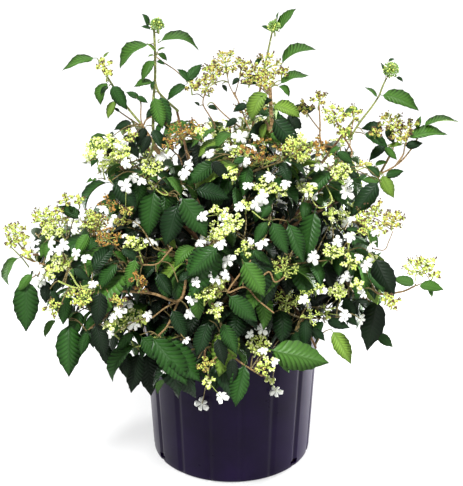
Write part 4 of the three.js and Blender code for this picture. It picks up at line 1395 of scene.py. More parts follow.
def link_rows(root, tip, seed):
    """Segments of a stalk that bows up from its twig."""
    random = seeded(3100 + seed)
    reach = np.linalg.norm(tip - root)
    if reach < 1:
        return []
    off = vec(random() - 0.5, random() - 0.5, 0.6 + 0.6 * random()) * 0.2 * reach
    way = smooth([root, lerp(root, tip, 0.5) + off, tip], 4)
    radii = [lerp(1.0, 0.65, i / 8) for i in range(9)]
    return [segment(way[i], way[i + 1], radii[i], radii[i + 1]) for i in range(8)]


def segment(a, b, low, high):
    return [*a, *b, low, high]


def bent(a, b, low, high, steps, sag, seed):
    """Segments of a slightly crooked twig."""
    random = seeded(seed)
    points = [a]
    for i in range(1, steps):
        off = vec(random() - 0.5, random() - 0.5, random() - 0.5) * sag
        points.append(lerp(a, b, i / steps) + off)
    points.append(b)
    rows = []
    for i in range(steps):
        radii = (lerp(low, high, i / steps), lerp(low, high, (i + 1) / steps))
        rows.append(segment(points[i], points[i + 1], *radii))
    return rows


# Leaves

# Rows of the blade: where the midrib is, how far the edge runs on towards the tip, and whether the
# edge has a tooth there.
LEAF_ROWS = (
    (0.0, 0.0, False), (0.1, 0.0, False), (0.15, 0.035, False), (0.22, 0.06, True), (0.3, 0.06, False),
    (0.37, 0.08, True), (0.45, 0.075, False), (0.52, 0.085, True), (0.6, 0.07, False), (0.67, 0.075, True),
    (0.75, 0.055, False), (0.82, 0.05, True), (0.9, 0.02, False), (1.0, 0.0, False),
)


def blade_half(s):
    """Half the breadth of the real blade, which starts beyond its stalk and ends in a drip tip."""
    if s <= 0.1:
        return 0.012
    t = (s - 0.1) / 0.9
    half = 0.262 * math.sin(math.pi * t**0.76) ** 0.82
    return max(0.004, half * (1 - 0.45 * max(0, (t - 0.72) / 0.28)))


@functools.cache
def leaf_template():
    """A blade flat on the ground, along X, a unit long: two strips above and two below."""
    bm = bmesh.new()
    rows = []
    for s, run, tooth in LEAF_ROWS:
        at = min(s + run + (0.014 if tooth else 0), 1)
        half = blade_half(at) * (1 if tooth or s < 0.2 or s > 0.85 else 0.91)
        left, right = (bm.verts.new((at, side * half, 0)) for side in (-1, 1))
        mid = bm.verts.new((s, 0, 0.004 if s < 1 else 0))
        low = bm.verts.new((s, 0, -0.011 if s < 1 else 0))
        rows.append((left, mid, right, low))
    for (left, mid, right, low), (on_left, on_mid, on_right, on_low) in zip(rows, rows[1:]):
        bm.faces.new((left, on_left, on_mid, mid))
        bm.faces.new((mid, on_mid, on_right, right))
        for a, b, c, d in ((left, low, on_low, on_left), (low, right, on_right, on_low)):
            bm.faces.new((a, b, c, d)).material_index = 1
    for left, mid, right, low in (rows[0], rows[-1]):
        bm.faces.new((left, mid, right, low))
    bmesh.ops.remove_doubles(bm, verts=bm.verts, dist=1e-5)
    return Template(bm, mapped=True)


def place_leaves(leaves, template):
    """Bends and places a copy of the blade for each leaf."""
    s, w, h = template.points.T
    out = []
    for leaf in leaves:
        random = seeded(leaf.seed * 7 + 3)
        fold = 0.1 + 0.4 * random()
        curl = (random() - 0.5) * 0.7
        wave = 0.008 + 0.014 * random()
        phase = ANY_TURN * random()
        breadth = 0.78 + 0.2 * random()
        across = np.abs(w)
        height = h + fold * across + wave * np.sin(11 * s + phase) * (across > 0.06)
        twist = curl * s
        for _ in range(8):
            x = leaf.length * breadth * w * np.cos(twist)
            y = leaf.length * (height + w * np.sin(twist))
            points = leaf.bent(s, x, y)
            if np.all(points > BOX[0] - 5) and np.all(points < BOX[1] + 5):
                break
            leaf.length *= 0.96
        out.append(points)
    return np.array(out)


# Flower heads


@functools.cache
def floret_template():
    """A flat floret of five uneven lobes round a small eye, a unit in radius."""
    bm = bmesh.new()
    lobes = (1.0, 0.78, 0.94, 0.62, 0.84)
    eye = bm.verts.new((0, 0, 0.02))
    for k, lobe in enumerate(lobes):
        turn = Matrix.Rotation(math.radians(72 * k), 3, "Z")
        left, mid, right = [], [], []
        for reach, half, rise in ((0.6, 0.35, 0.12), (0.95, 0.24, -0.08)):
            left.append(bm.verts.new(turn @ Vector((reach * lobe, -half * lobe, rise - 0.05))))
            mid.append(bm.verts.new(turn @ Vector(((reach + 0.03) * lobe, 0, rise))))
            right.append(bm.verts.new(turn @ Vector((reach * lobe, half * lobe, rise - 0.05))))
        bm.faces.new((left[0], left[1], mid[1], mid[0]))
        bm.faces.new((mid[0], mid[1], right[1], right[0]))
        bm.faces.new((eye, left[0], mid[0]))
        bm.faces.new((eye, mid[0], right[0]))
    made = bmesh.ops.extrude_face_region(bm, geom=bm.faces[:])
    sheet = [g for g in made["geom"] if isinstance(g, bmesh.types.BMVert)]
    bmesh.ops.translate(bm, vec=(0, 0, -0.03), verts=sheet)
    return Template(bm)


@functools.cache
def bud_template():
    bm = bmesh.new()
    bmesh.ops.create_icosphere(bm, subdivisions=1, radius=1)
    return Template(bm)


BLOOM_FINISHES = ("fresh", "cream", "gold", "spent", "dark", "stalk", "bud_green")
FRESH, CREAM, GOLD, SPENT, DARK, STALK, GREEN = range(7)

# By kind of head, the buds in each cluster and the finish that they have up to each deal.
CLUSTERS = {
    "F": (10, ((0.6, FRESH), (1, CREAM))),
    "G": (14, ((0.42, GOLD), (0.7, FRESH), (1, DARK))),
    "C": (13, ((0.62, FRESH), (0.76, GOLD), (1, DARK))),
    "S": (9, ((0.62, SPENT), (0.72, GOLD), (1, DARK))),
    "T": (7, ((1, FRESH),)),
}


class Bloom:
    """Everything that the flower heads of some masses are made of."""

    def __init__(self):
        self.rays = []
        self.stalks = []
        self.buds = []
        self.bud_finish = []
        self.florets = []

    def add(self, head, bud, floret):
        random = seeded(head.seed * 3 + 1)
        axis, u, v, radius = head.axis, head.u, head.v, head.radius
        knot = head.rise(-0.42 if head.radius > 15 else -0.3)
        self.stalks += bent(head.foot, knot, 1.25, 0.95, 3, 2.0, head.seed)
        if head.kind == "B":
            self.add_ball(head, bud)
            return
        spent = head.kind == "S"
        clumps = 7 if head.radius > 15 else 4
        per, deals = CLUSTERS[head.kind]
        if head.own_florets is not None:
            per = int(1.5 * per)
        for k in range(clumps + 1):
            out = 0.0 if k == clumps else 0.62 + 0.1 * random()
            turn = 2 * math.pi * (k + 0.5 * random()) / clumps
            lift = HEAD_DOME * (1 - out * out)
            away = u * math.cos(turn) + v * math.sin(turn)
            sag = 0.35 * random() if spent else 0
            end = head.rise(lift - 0.26 - sag) + away * out * radius
            self.rays += bent(knot, end, 0.8, 0.6, 2, 1.5, head.seed + k)
            for i in range(per):
                spread = 0.3 * math.sqrt((i + 0.5) / per)
                spin = SPIRAL * i + ANY_TURN * random()
                aside = (u * math.cos(spin) + v * math.sin(spin)) * spread * radius
                high = lift + 0.1 * (random() - 0.5) - sag - 0.4 * spread
                at = head.rise(high) + away * out * radius + aside
                size = bud * (0.75 + 0.5 * random())
                deal = random()
                finish = next(dealt for edge, dealt in deals if deal < edge)
                if head.kind == "T":
                    size *= 0.6
                if finish == DARK:
                    size *= 0.85
                    at = at + (away * out + axis * 0.6) * radius * (0.1 + 0.25 * random())
                self.rays.append(segment(end, at, 0.42, 0.36))
                self.buds.append([*at, size])
                self.bud_finish.append(finish)
        if head.own_florets is not None:
            for row, on_ray in head.own_florets:
                self.florets.append(row)
                at, normal = np.array(row[:3]), np.array(row[3:6])
                if on_ray:
                    self.rays.append(segment(knot, at - normal * 0.5, 0.45, 0.4))
        if head.kind != "F":
            return
        count = 2 + int(4 * random())
        if head.own_florets is not None:
            count = max(0, 1 - len(head.own_florets))
        for k in range(count):
            turn = 2 * math.pi * (k + 0.45 * random()) / count
            away = u * math.cos(turn) + v * math.sin(turn)
            out = radius * (0.94 + 0.26 * random())
            size = floret * (0.84 + 0.26 * random()) * min(1, radius / 20)
            tilt = 0.25 + 0.75 * random()
            normal = unit(axis * math.cos(tilt) + away * math.sin(tilt))
            at = head.rise(0.12 * random() + 0.02) + away * out
            self.florets.append([*at, *normal, size, ANY_TURN * random()])
            self.rays.append(segment(knot, at - normal * 0.5, 0.45, 0.4))

    def add_ball(self, head, bud):
        """A tight ball of green buds."""
        random = seeded(head.seed * 5 + 2)
        middle = head.rise(-0.1)
        for k in range(64):
            high = 1 - 1.5 * (k + 0.5) / 64
            out = math.sqrt(1 - high * high)
            turn = SPIRAL * k
            way = head.u * out * math.cos(turn) + head.v * out * math.sin(turn) + head.axis * high
            at = middle + way * head.radius * (0.62 + 0.2 * random())
            self.rays.append(segment(middle, at, 0.8, 0.6))
            self.buds.append([*at, bud * (0.9 + 0.5 * random())])
            self.bud_finish.append(GREEN if random() < 0.75 else FRESH)


def place_buds(rows, template):
    rows = np.array(rows, float)
    return rows[:, None, :3] + template.points[None] * rows[:, 3][:, None, None]


def place_florets(rows, template):
    rows = np.array(rows, float)
    at, normal, size, spin = rows[:, :3], rows[:, 3:6], rows[:, 6], rows[:, 7]
    u, v = square_to_each(normal)
    c, s = np.cos(spin)[:, None], np.sin(spin)[:, None]
    x, y, z = (template.points[None] * size[:, None, None]).transpose(2, 0, 1)[..., None]
    flat = at[:, None] + (u * c + v * s)[:, None] * x + (v * c - u * s)[:, None] * y
    return flat + normal[:, None] * z


# Materials


class Nodes:
    """Short calls for a material's nodes."""

    def __init__(self, name, roughness, specular=0.5):
        self.material = bpy.data.materials.new(name)
        self.material.use_nodes = True
        self.tree = self.material.node_tree
        self.shader = self.tree.nodes["Principled BSDF"]
        self.shader.inputs["Roughness"].default_value = roughness
        self.shader.inputs["Specular IOR Level"].default_value = specular

    def node(self, kind, **settings):
        made = self.tree.nodes.new(kind)
        for key, value in settings.items():
            setattr(made, key, value)
        return made

    def link(self, out, into):
        self.tree.links.new(out, into)

    def math(self, operation, a, b=None, c=None):
        node = self.node("ShaderNodeMath", operation=operation)
        for socket, value in zip(node.inputs, (a, b, c)):
            if isinstance(value, (int, float)):
                socket.default_value = value
            elif value is not None:
                self.link(value, socket)
        return node.outputs[0]

    def coordinates(self, uv=False):
        return self.node("ShaderNodeTexCoord").outputs["UV" if uv else "Object"]

    def speckle(self, scale, detail=3.0, roughness=0.6, where=None):
        node = self.node("ShaderNodeTexNoise")
        node.inputs["Scale"].default_value = scale
        node.inputs["Detail"].default_value = detail
        node.inputs["Roughness"].default_value = roughness
        self.link(where or self.coordinates(), node.inputs["Vector"])
        return node.outputs["Fac"]

    def ramp(self, factor, stops):
        node = self.node("ShaderNodeValToRGB")
        places = node.color_ramp.elements
        places[0].position, places[-1].position = stops[0][0], stops[-1][0]
        for at, _ in stops[1:-1]:
            places.new(at)
        for stop, (_, colour) in zip(places, stops):
            stop.color = (*colour[:3], 1)
        self.link(factor, node.inputs["Fac"])
        return node.outputs["Color"]

    def base(self, colour):
        self.link(colour, self.shader.inputs["Base Color"])

    def bump(self, height, strength, distance):
        node = self.node("ShaderNodeBump")
        node.inputs["Strength"].default_value = strength
        node.inputs["Distance"].default_value = distance
        self.link(height, node.inputs["Height"])
        self.link(node.outputs["Normal"], self.shader.inputs["Normal"])


def scaled(colour, by):
    return tuple(min(1.0, c * by) for c in colour[:3])


def leaf_finish(name, colour, roughness, veins):
    """A leaf with its midrib and side veins on the blade's own map, darker along their furrows as painted
    shade.
    """
    nodes = Nodes(name, roughness, 0.24)
    axes = nodes.node("ShaderNodeSeparateXYZ")
    nodes.link(nodes.coordinates(uv=True), axes.inputs[0])
    along, across = axes.outputs[0], axes.outputs[1]
    out = nodes.math("ABSOLUTE", across)
    bow = nodes.math("MULTIPLY", nodes.math("MULTIPLY", out, out), 1.6)
    run = nodes.math("SUBTRACT", along, nodes.math("SUBTRACT", nodes.math("MULTIPLY", out, 1.05), bow))
    vein = nodes.math("ABSOLUTE", nodes.math("SINE", nodes.math("MULTIPLY", run, 40)))
    rib = nodes.math("SMOOTH_MIN", nodes.math("MULTIPLY", out, 26), 1.0, 0.4)
    height = nodes.math("MULTIPLY", nodes.math("POWER", vein, 0.55), rib)
    patch = nodes.math("SUBTRACT", nodes.speckle(13, 1, 0.5), 0.5)
    mottle = nodes.math("SUBTRACT", nodes.speckle(160, 3, 0.6), 0.5)
    tone = nodes.math("ADD", nodes.math("MULTIPLY", patch, 0.9), nodes.math("MULTIPLY", mottle, 0.25))
    factor = nodes.math("ADD", nodes.math("MULTIPLY", height, 0.5), nodes.math("ADD", tone, 0.12))
    # dark is painted shade in the midrib and vein furrows; pale lightens the bulges where the patches run
    # bright, partly as a painted highlight
    dark, pale = scaled(colour, 0.4 + veins), scaled(colour, 1.8)
    nodes.base(nodes.ramp(factor, [(0.0, dark), (0.25, scaled(colour, 0.78)), (0.6, colour), (1.0, pale)]))
    nodes.bump(height, 0.6, 0.0014)
    return nodes.material


def speckled(name, low, high, roughness, specular, speckle, bump):
    """Two shades of one colour, in a fine speckle."""
    nodes = Nodes(name, roughness, specular)
    grain = nodes.speckle(*speckle)
    nodes.base(nodes.ramp(grain, [(0.3, low), (0.7, high)]))
    nodes.bump(grain, *bump)
    return nodes.material


@functools.cache
def finishes():
    colours = bpy.context.scene.colour_settings
    made = {}
    # shade and deep are darker copies of the leaf colours as painted shade, light a lighter copy as painted
    # light; the undersides are paler, but darker for shade and deep leaves as painted shade
    for name, colour, by, roughness, veins in (
        ("shade", colours.shade, 1, 0.42, 0.5),
        ("green", colours.green, 1, 0.44, 0.45),
        ("light", colours.light, 1, 0.46, 0.4),
        ("young", colours.young, 1, 0.5, 0.3),
        ("deep", colours.shade, 0.42, 0.5, 0.5),
        ("deep_under", colours.shade, 0.6, 0.7, 0.5),
        ("shade_under", colours.light, 0.42, 0.7, 0.5),
        ("green_under", colours.light, 0.7, 0.7, 0.5),
        ("light_under", colours.young, 0.85, 0.7, 0.4),
        ("young_under", colours.young, 1.2, 0.7, 0.3),
    ):
        made[name] = leaf_finish("leaf_" + name, scaled(colour, by), roughness, veins)
    plain = (
        ("fresh", (0.42, 0.55, 0.08), (0.62, 0.7, 0.18), 0.55),
        ("cream", (0.62, 0.66, 0.3), (0.82, 0.82, 0.5), 0.6),
        ("gold", (0.31, 0.25, 0.04), (0.52, 0.43, 0.1), 0.65),
        ("spent", (0.26, 0.12, 0.02), (0.43, 0.23, 0.05), 0.75),
        ("dark", (0.05, 0.025, 0.012), (0.14, 0.07, 0.03), 0.6),
        ("stalk", (0.3, 0.4, 0.08), (0.45, 0.5, 0.14), 0.55),
        ("twig", (0.1, 0.085, 0.03), (0.22, 0.16, 0.055), 0.6),
        ("tan_stem", (0.17, 0.1, 0.035), (0.33, 0.21, 0.09), 0.6),
        ("bud_green", (0.09, 0.19, 0.03), (0.2, 0.34, 0.07), 0.55),
        ("green_stem", (0.14, 0.17, 0.035), (0.24, 0.26, 0.07), 0.55),
        ("petal", scaled(colours.petal, 0.93), tuple(colours.petal), 0.5),
    )
    for name, low, high, roughness in plain:
        scale = 90 if name == "petal" else 240
        made[name] = speckled(name, low, high, roughness, 0.4, (scale,), (0.25, 0.0005))
    nodes = Nodes("bark", 0.72, 0.35)
    stretch = nodes.node("ShaderNodeMapping")
    stretch.inputs["Scale"].default_value = (1, 1, 0.35)
    nodes.link(nodes.coordinates(), stretch.inputs["Vector"])
    streaks = nodes.speckle(210, 6, 0.65, stretch.outputs[0])
    spots = nodes.node("ShaderNodeTexVoronoi", feature="F1")
    spots.inputs["Scale"].default_value = 190
    nodes.link(nodes.coordinates(), spots.inputs["Vector"])
    pale = nodes.math("LESS_THAN", spots.outputs["Distance"], 0.2)
    mixed = nodes.math("ADD", nodes.math("MULTIPLY", streaks, 0.85), nodes.math("MULTIPLY", pale, 0.18))
    dark, brown, tan = (0.1, 0.052, 0.024), (0.23, 0.13, 0.06), (0.42, 0.28, 0.14)
    nodes.base(nodes.ramp(mixed, [(0.3, dark), (0.52, brown), (0.75, tan)]))
    nodes.bump(mixed, 0.6, 0.0012)
    made["bark"] = nodes.material
    return made


# Stage


class VIBURNUM_OT_stage(bpy.types.Operator):
    """Make the floor, the soft lights and the camera"""

    bl_idname = "viburnum.stage"
    bl_label = "Stage"

    def execute(self, context):
        scene = context.scene
        bm = bmesh.new()
        bmesh.ops.create_grid(bm, x_segments=2, y_segments=2, size=40)
        bmesh.ops.translate(bm, vec=(0, 0, -0.0006), verts=bm.verts)
        nodes = Nodes("floor", 0.6, 0.2)
        nodes.base(nodes.ramp(nodes.speckle(3), [(0.3, (0.3, 0.3, 0.303)), (0.7, (0.315, 0.315, 0.318))]))
        nodes.shader.inputs["Emission Color"].default_value = (1, 1, 1, 1)
        nodes.shader.inputs["Emission Strength"].default_value = 0.58
        floor = drawn_piece("floor", bm, nodes.material)
        for name, azimuth, elevation, strength, angle in (
            ("key", -20, 56, 5.2, 14),
            ("fill", 48, 38, 1.0, 50),
            ("back", 170, 55, 1.0, 50),
        ):
            light = bpy.data.lights.new(name, "SUN")
            light.energy = strength
            light.angle = math.radians(angle)
            rise = math.radians(elevation)
            towards = place(azimuth, -math.cos(rise), -math.sin(rise))
            self.add_lamp(light, -3 * towards, towards)
        for side, energy in ((-1, 8), (1, 27)):
            light = bpy.data.lights.new("side", "AREA")
            light.size = 0.3
            light.energy = energy
            self.add_lamp(light, (0.66 * side, 0.4, 0.1), (-0.66 * side, -0.4, 0.02))
        world = bpy.data.worlds.new("studio")
        world.use_nodes = True
        world.node_tree.nodes["Background"].inputs["Color"].default_value = (1, 1, 1, 1)
        world.node_tree.nodes["Background"].inputs["Strength"].default_value = 0.34
        scene.world = world
        scene.view_settings.view_transform = "Standard"
        lens = bpy.data.cameras.new("camera")
        lens.sensor_width = SENSOR
        lens.lens = FOCAL * SENSOR / PHOTO_HEIGHT
        camera = bpy.data.objects.new("camera", lens)
        camera.location = tuple(EYE * MM)
        camera.rotation_euler = (math.radians(90 - PITCH), 0, 0)
        scene.collection.objects.link(camera)
        scene.camera = camera
        return {"FINISHED"}

    def add_lamp(self, light, location, towards):
        lamp = bpy.data.objects.new(light.name, light)
        lamp.location = tuple(location)
        lamp.rotation_euler = Vector(towards).to_track_quat("-Z", "Y").to_euler()
        bpy.context.scene.collection.objects.link(lamp)


# Pot


class VIBURNUM_OT_pot(bpy.types.Operator):
    """Turn the pot, press its pleats and open its drain holes"""

    bl_idname = "viburnum.pot"
    bl_label = "Pot"

    def execute(self, context):
        settings = context.scene.pot_settings
        foot, collar, rim = POT["foot"], POT["collar"], POT["rim"]
        height, shoulder = POT["height"], POT["shoulder_height"]
        outside = [(0.01, 0), (foot - 24, 0), (foot - 7, 0), (foot - 3, 0.8), (wall_radius(5) - 0.6, 3)]
        outside += [(wall_radius(5), 6)]
        outside += [(wall_radius(z), z) for z in (14, 22, 60, 100, 140, 176, 194, shoulder - 3)]
        outside += [(POT["shoulder"], shoulder), (collar - 0.8, shoulder + 2.6), (collar, shoulder + 4)]
        outside += [(collar + 0.3, shoulder + 12), (collar + 0.8, height - 11), (rim - 1, height - 9.4)]
        outside += [(rim, height - 8), (rim, height - 2.6), (rim - 0.8, height - 0.7)]
        outside += [(rim - 2.2, height), (collar - 2, height)]
        inside = [(collar - 3, height - 1), (collar - 4, shoulder + 6)]
        inside += [(inner_radius(shoulder), shoulder - 2)]
        inside += [(inner_radius(z), z) for z in (140, 60, 22, 14, 6)]
        inside += [(inner_radius(POT["floor"]) - 8, POT["floor"]), (0.01, POT["floor"])]
        bm = lathed(outside + inside, settings.steps)
        self.press_pleats(bm, settings.pleat_depth)
        self.open_drains(bm)
        bmesh.ops.recalc_face_normals(bm, faces=bm.faces)
        nodes = Nodes("pot_plastic", settings.gloss, 0.1)
        colour = tuple(settings.colour)
        cloud = nodes.speckle(14, 4, 0.55)
        nodes.base(nodes.ramp(cloud, [(0.3, scaled(colour, 0.8)), (0.7, scaled(colour, 1.5))]))
        grain = nodes.speckle(900, 2, 0.5)
        rough = nodes.math("ADD", nodes.math("MULTIPLY", cloud, 0.16), settings.gloss - 0.08)
        nodes.link(rough, nodes.shader.inputs["Roughness"])
        nodes.bump(grain, 0.12, 0.0003)
        pot = drawn_piece("nursery_pot", bm, nodes.material)
        pot.data.set_sharp_from_angle(angle=math.radians(38))
        settle(pot, ["pot"])
        return {"FINISHED"}

    def press_pleats(self, bm, depth):
        """A narrow rib at each joint of the panels, between two shallow grooves."""
        step = 2 * math.pi / POT["panels"]
        first = math.radians(POT["first_pleat"])
        top = POT["shoulder_height"] * MM
        for v in bm.verts:
            reach = math.hypot(v.co.x, v.co.y)
            wall = wall_radius(v.co.z / MM) * MM
            if v.co.z > top - 0.002 or v.co.z < 0.0009 or abs(reach - wall) > 0.0009:
                continue
            azimuth = math.atan2(v.co.x, -v.co.y) - first
            off = abs((azimuth + step / 2) % step - step / 2) * reach
            dent = 0.0
            if off < 0.0042:
                dent = depth * (0.35 if off < 0.0013 else 1.0)
            scale = (reach - dent) / reach
            v.co.x *= scale
            v.co.y *= scale

    def open_drains(self, bm):
        """Cuts the same block of faces from both sides of the wall and joins the edges through it."""
        step = 2 * math.pi / POT["panels"]
        for pleat in DRAIN_PLEATS:
            centre = math.radians(POT["first_pleat"]) + pleat * step
            cut = []
            for face in bm.faces:
                middle = face.calc_center_median()
                turn = (math.atan2(middle.x, -middle.y) - centre + math.pi) % (2 * math.pi) - math.pi
                if abs(turn) < math.radians(3.2) and 0.0055 < middle.z < 0.0145:
                    if math.hypot(middle.x, middle.y) > 0.11:
                        cut.append(face)
            rim = dict.fromkeys(e for f in cut for e in f.edges if any(g not in cut for g in e.link_faces))
            bmesh.ops.delete(bm, geom=cut, context="FACES_ONLY")
            bmesh.ops.bridge_loops(bm, edges=list(rim))


class VIBURNUM_OT_mix(bpy.types.Operator):
    """Lay the potting mix with bark chips on it"""

    bl_idname = "viburnum.mix"
    bl_label = "Potting Mix"

    def execute(self, context):
        bottom = POT["floor"] + MIX_GAP
        top = inner_radius(POT["shoulder_height"]) - 1.2
        profile = [(0.01, bottom), (inner_radius(bottom) - 1, bottom), (top, MIX_TOP - 3)]
        profile += [(r, MIX_TOP - 1.5) for r in (top - 1, *range(118, 0, -10), 0.01)]
        bm = lathed(profile, 72)
        for v in bm.verts:
            if v.co.z > (MIX_TOP - 2) * MM:
                v.co.z += 0.0016 * (noise.noise(v.co * 60) + 0.6 * noise.noise(v.co * 170))
        bmesh.ops.recalc_face_normals(bm, faces=bm.faces)
        nodes = Nodes("potting_mix", 0.95, 0.2)
        grit = nodes.speckle(320, 6, 0.7)
        dark, brown, pale = (0.008, 0.005, 0.003), (0.035, 0.02, 0.011), (0.11, 0.065, 0.035)
        nodes.base(nodes.ramp(grit, [(0.35, dark), (0.55, brown), (0.8, pale)]))
        nodes.bump(grit, 0.9, 0.002)
        piece = drawn_piece("potting_mix_surface", bm, nodes.material)
        settle(piece, ["potting_mix"])
        self.lay_chips(top)
        return {"FINISHED"}

    def lay_chips(self, top):
        """Scatters chips of bark and a few grains of perlite."""
        random = seeded(77)
        bm = bmesh.new()
        bmesh.ops.create_cube(bm, size=1)
        edges = bm.edges[:]
        bmesh.ops.bevel(bm, geom=edges, offset=0.16, affect="EDGES", segments=1, profile=0.5, material=-1)
        template = Template(bm)
        rows, dealt = [], []
        for _ in range(CHIPS):
            reach = (top - 6) * math.sqrt(random())
            size = vec(3 + 7 * random(), 2 + 4 * random(), 1 + 1.4 * random())
            turn = Matrix.Rotation(ANY_TURN * random(), 3, "Z")
            turn = turn @ Matrix.Rotation(0.5 * (random() - 0.5), 3, "X")
            pale = random() > 0.93
            if pale:
                size = vec(2.4, 2.2, 1.8) * (0.7 + 0.6 * random())
            at = place(360 * random(), reach, MIX_TOP - 1.2 + 0.9 * random())
            if math.hypot(at[0], at[1]) < TRUNK["flare"] + 3:
                continue
            rows.append((template.points * size) @ np.array(turn).T + at)
            dealt.append(2 if pale else int(2 * random()))
        kinds = []
        for name, low, high in (
            ("chip_dark", (0.02, 0.011, 0.006), (0.06, 0.035, 0.018)),
            ("chip_brown", (0.06, 0.032, 0.016), (0.15, 0.085, 0.042)),
            ("perlite", (0.6, 0.58, 0.54), (0.8, 0.79, 0.76)),
        ):
            kinds.append(speckled(name, low, high, 0.9, 0.25, (400, 5, 0.65), (0.6, 0.0008)))
        piece = joined("potting_mix_chips", [(np.array(rows), template, dealt)], kinds)
        piece.data.shade_flat()
        settle(piece, ["potting_mix"])


# Limbs


def bark_tube(bm, path, radius, steps, sides, grain):
    """Grows a closed tube of bark by extruding a ring along a path."""
    rings = []
    across = None
    for i in range(steps + 1):
        t = i / steps
        along = unit(path(min(1, t + 0.01)) - path(max(0, t - 0.01)))
        across = square_to(along)[0] if across is None else unit(across - along * (across @ along))
        beside = cross(along, across)
        points = []
        for k in range(sides):
            turn = 2 * math.pi * k / sides
            spoke = across * math.cos(turn) + beside * math.sin(turn)
            at = path(t) + spoke * radius(t)
            rough = noise.noise(Vector(at * (0.05, 0.05, 0.02))) + 0.6 * noise.noise(Vector(at * 0.21))
            out = radius(t) * (1 + grain * rough)
            points.append((path(t) + spoke * out) * MM)
        rings.append(points)
    made = bmesh.ops.create_circle(bm, cap_ends=True, segments=sides, radius=1)
    ring = made["verts"]
    for v, at in zip(ring, rings[0]):
        v.co = at
    edges = list({e for v in ring for e in v.link_edges})
    for points in rings[1:]:
        grown = bmesh.ops.extrude_edge_only(bm, edges=edges)["geom"]
        new = [g for g in grown if isinstance(g, bmesh.types.BMVert)]
        edges = [g for g in grown if isinstance(g, bmesh.types.BMEdge)]
        order = {}
        for v in ring:
            for e in v.link_edges:
                other = e.other_vert(v)
                if other in new:
                    order[v] = other
        ring = [order[v] for v in ring]
        for v, at in zip(ring, points):
            v.co = at
        edges = [e for e in edges if all(v in ring for v in e.verts)]
    bmesh.ops.contextual_create(bm, geom=edges)


class VIBURNUM_OT_limbs(bpy.types.Operator):
    """Grow the trunk and the boughs with their bark"""

    bl_idname = "viburnum.limbs"
    bl_label = "Trunk and Boughs"

    def execute(self, context):
        bm = bmesh.new()
        bark_tube(bm, trunk_path, trunk_radius, 26, 22, 0.09)
        for limb in all_limbs().values():
            def path(t, limb=limb):
                return limb.path(t * limb.entry)

            def radius(t, limb=limb):
                knots = 0.12 * max(0, math.cos(t * 22 + limb.index)) ** 12
                return limb.radius(t * limb.entry) * (1 + knots + 0.25 * math.exp(-t * 14))

            bark_tube(bm, path, radius, 22, 10, 0.08)
        bmesh.ops.recalc_face_normals(bm, faces=bm.faces)
        piece = drawn_piece("trunk_and_boughs", bm, finishes()["bark"])
        settle(piece, ["trunk", *("bough_" + name for name in all_limbs())])
        return {"FINISHED"}


def zone_masses(zone):
    return [mass for mass in shrub() if mass.limb.form.zone == zone]


def zone_nodes(zone):
    return ["mass_" + mass.limb.name for mass in zone_masses(zone)]


class VIBURNUM_OT_twigs(bpy.types.Operator):
    """Grow the stems, twigs and shoots inside the masses"""

    bl_idname = "viburnum.twigs"
    bl_label = "Twigs"

    def execute(self, context):
        materials = [finishes()[name] for name in ("bark", "twig", "green_stem", "tan_stem", "stalk")]
        for zone in ZONES:
            stems, twigs, shown = [], [], {"T": [], "G": [], "P": []}
            for mass in zone_masses(zone):
                limb = mass.limb
                for i in range(STEM_STEPS):
                    low, high = (lerp(limb.entry, 1, (i + k) / STEM_STEPS) for k in (0, 1))
                    a, b = limb.path(low), limb.path(high)
                    if limb.name != "leader_right" and sky_share(b[None]) == 1:
                        break
                    stems.append(segment(a, b, limb.radius(low), limb.radius(high)))
                for n, twig in enumerate(mass.twigs):
                    twigs += bent(twig.root, twig.tip, 1.7, 1.05, 4, 1.6, limb.index * 50 + n)
                for finish, radius, root, points in mass.seen_stems:
                    way = smooth([root, *points], 6)
                    radii = [radius * lerp(0.95, 0.7, i / (len(way) - 1)) for i in range(len(way))]
                    for i, (a, b) in enumerate(zip(way, way[1:])):
                        shown[finish].append(segment(a, b, radii[i], radii[i + 1]))
                for n, (root, tip) in enumerate(mass.links):
                    twigs += link_rows(root, tip, n)
                for n, shoot in enumerate(mass.shoots):
                    twigs += bent(shoot.root, shoot.tip, 1.1, 0.75, 3, 1.2, limb.index * 90 + n)
            first = 2 if zone == "leaders" else 0
            groups = ((stems, 8, first), (twigs, 6, max(1, first)))
            groups += ((shown["T"], 7, 3), (shown["G"], 7, 2), (shown["P"], 7, 4))
            parts = [bars(*group) for group in groups if group[0]]
            piece = joined("twigs_" + zone, parts, materials)
            settle(piece, zone_nodes(zone))
        return {"FINISHED"}


LEAF_KINDS = ("shade", "green", "light", "young", "deep")

# The middle of the crown, and how far from it the leaves take the deep colour, painted shade.
HEART = np.array((0, 0, 320.0))
DEEP_SHADE_REACH = 208

# Up to which deal a grown leaf takes the shade, green and light colours, where shade is painted shade
# and light painted light. The rest are young.
LEAF_DEALS = {
    "wings": (0.34, 0.76, 0.98),
    "skirts": (0.45, 0.88, 0.99),
    "crests": (0.34, 0.76, 0.98),
    "leaders": (0.05, 0.3, 0.7),
}


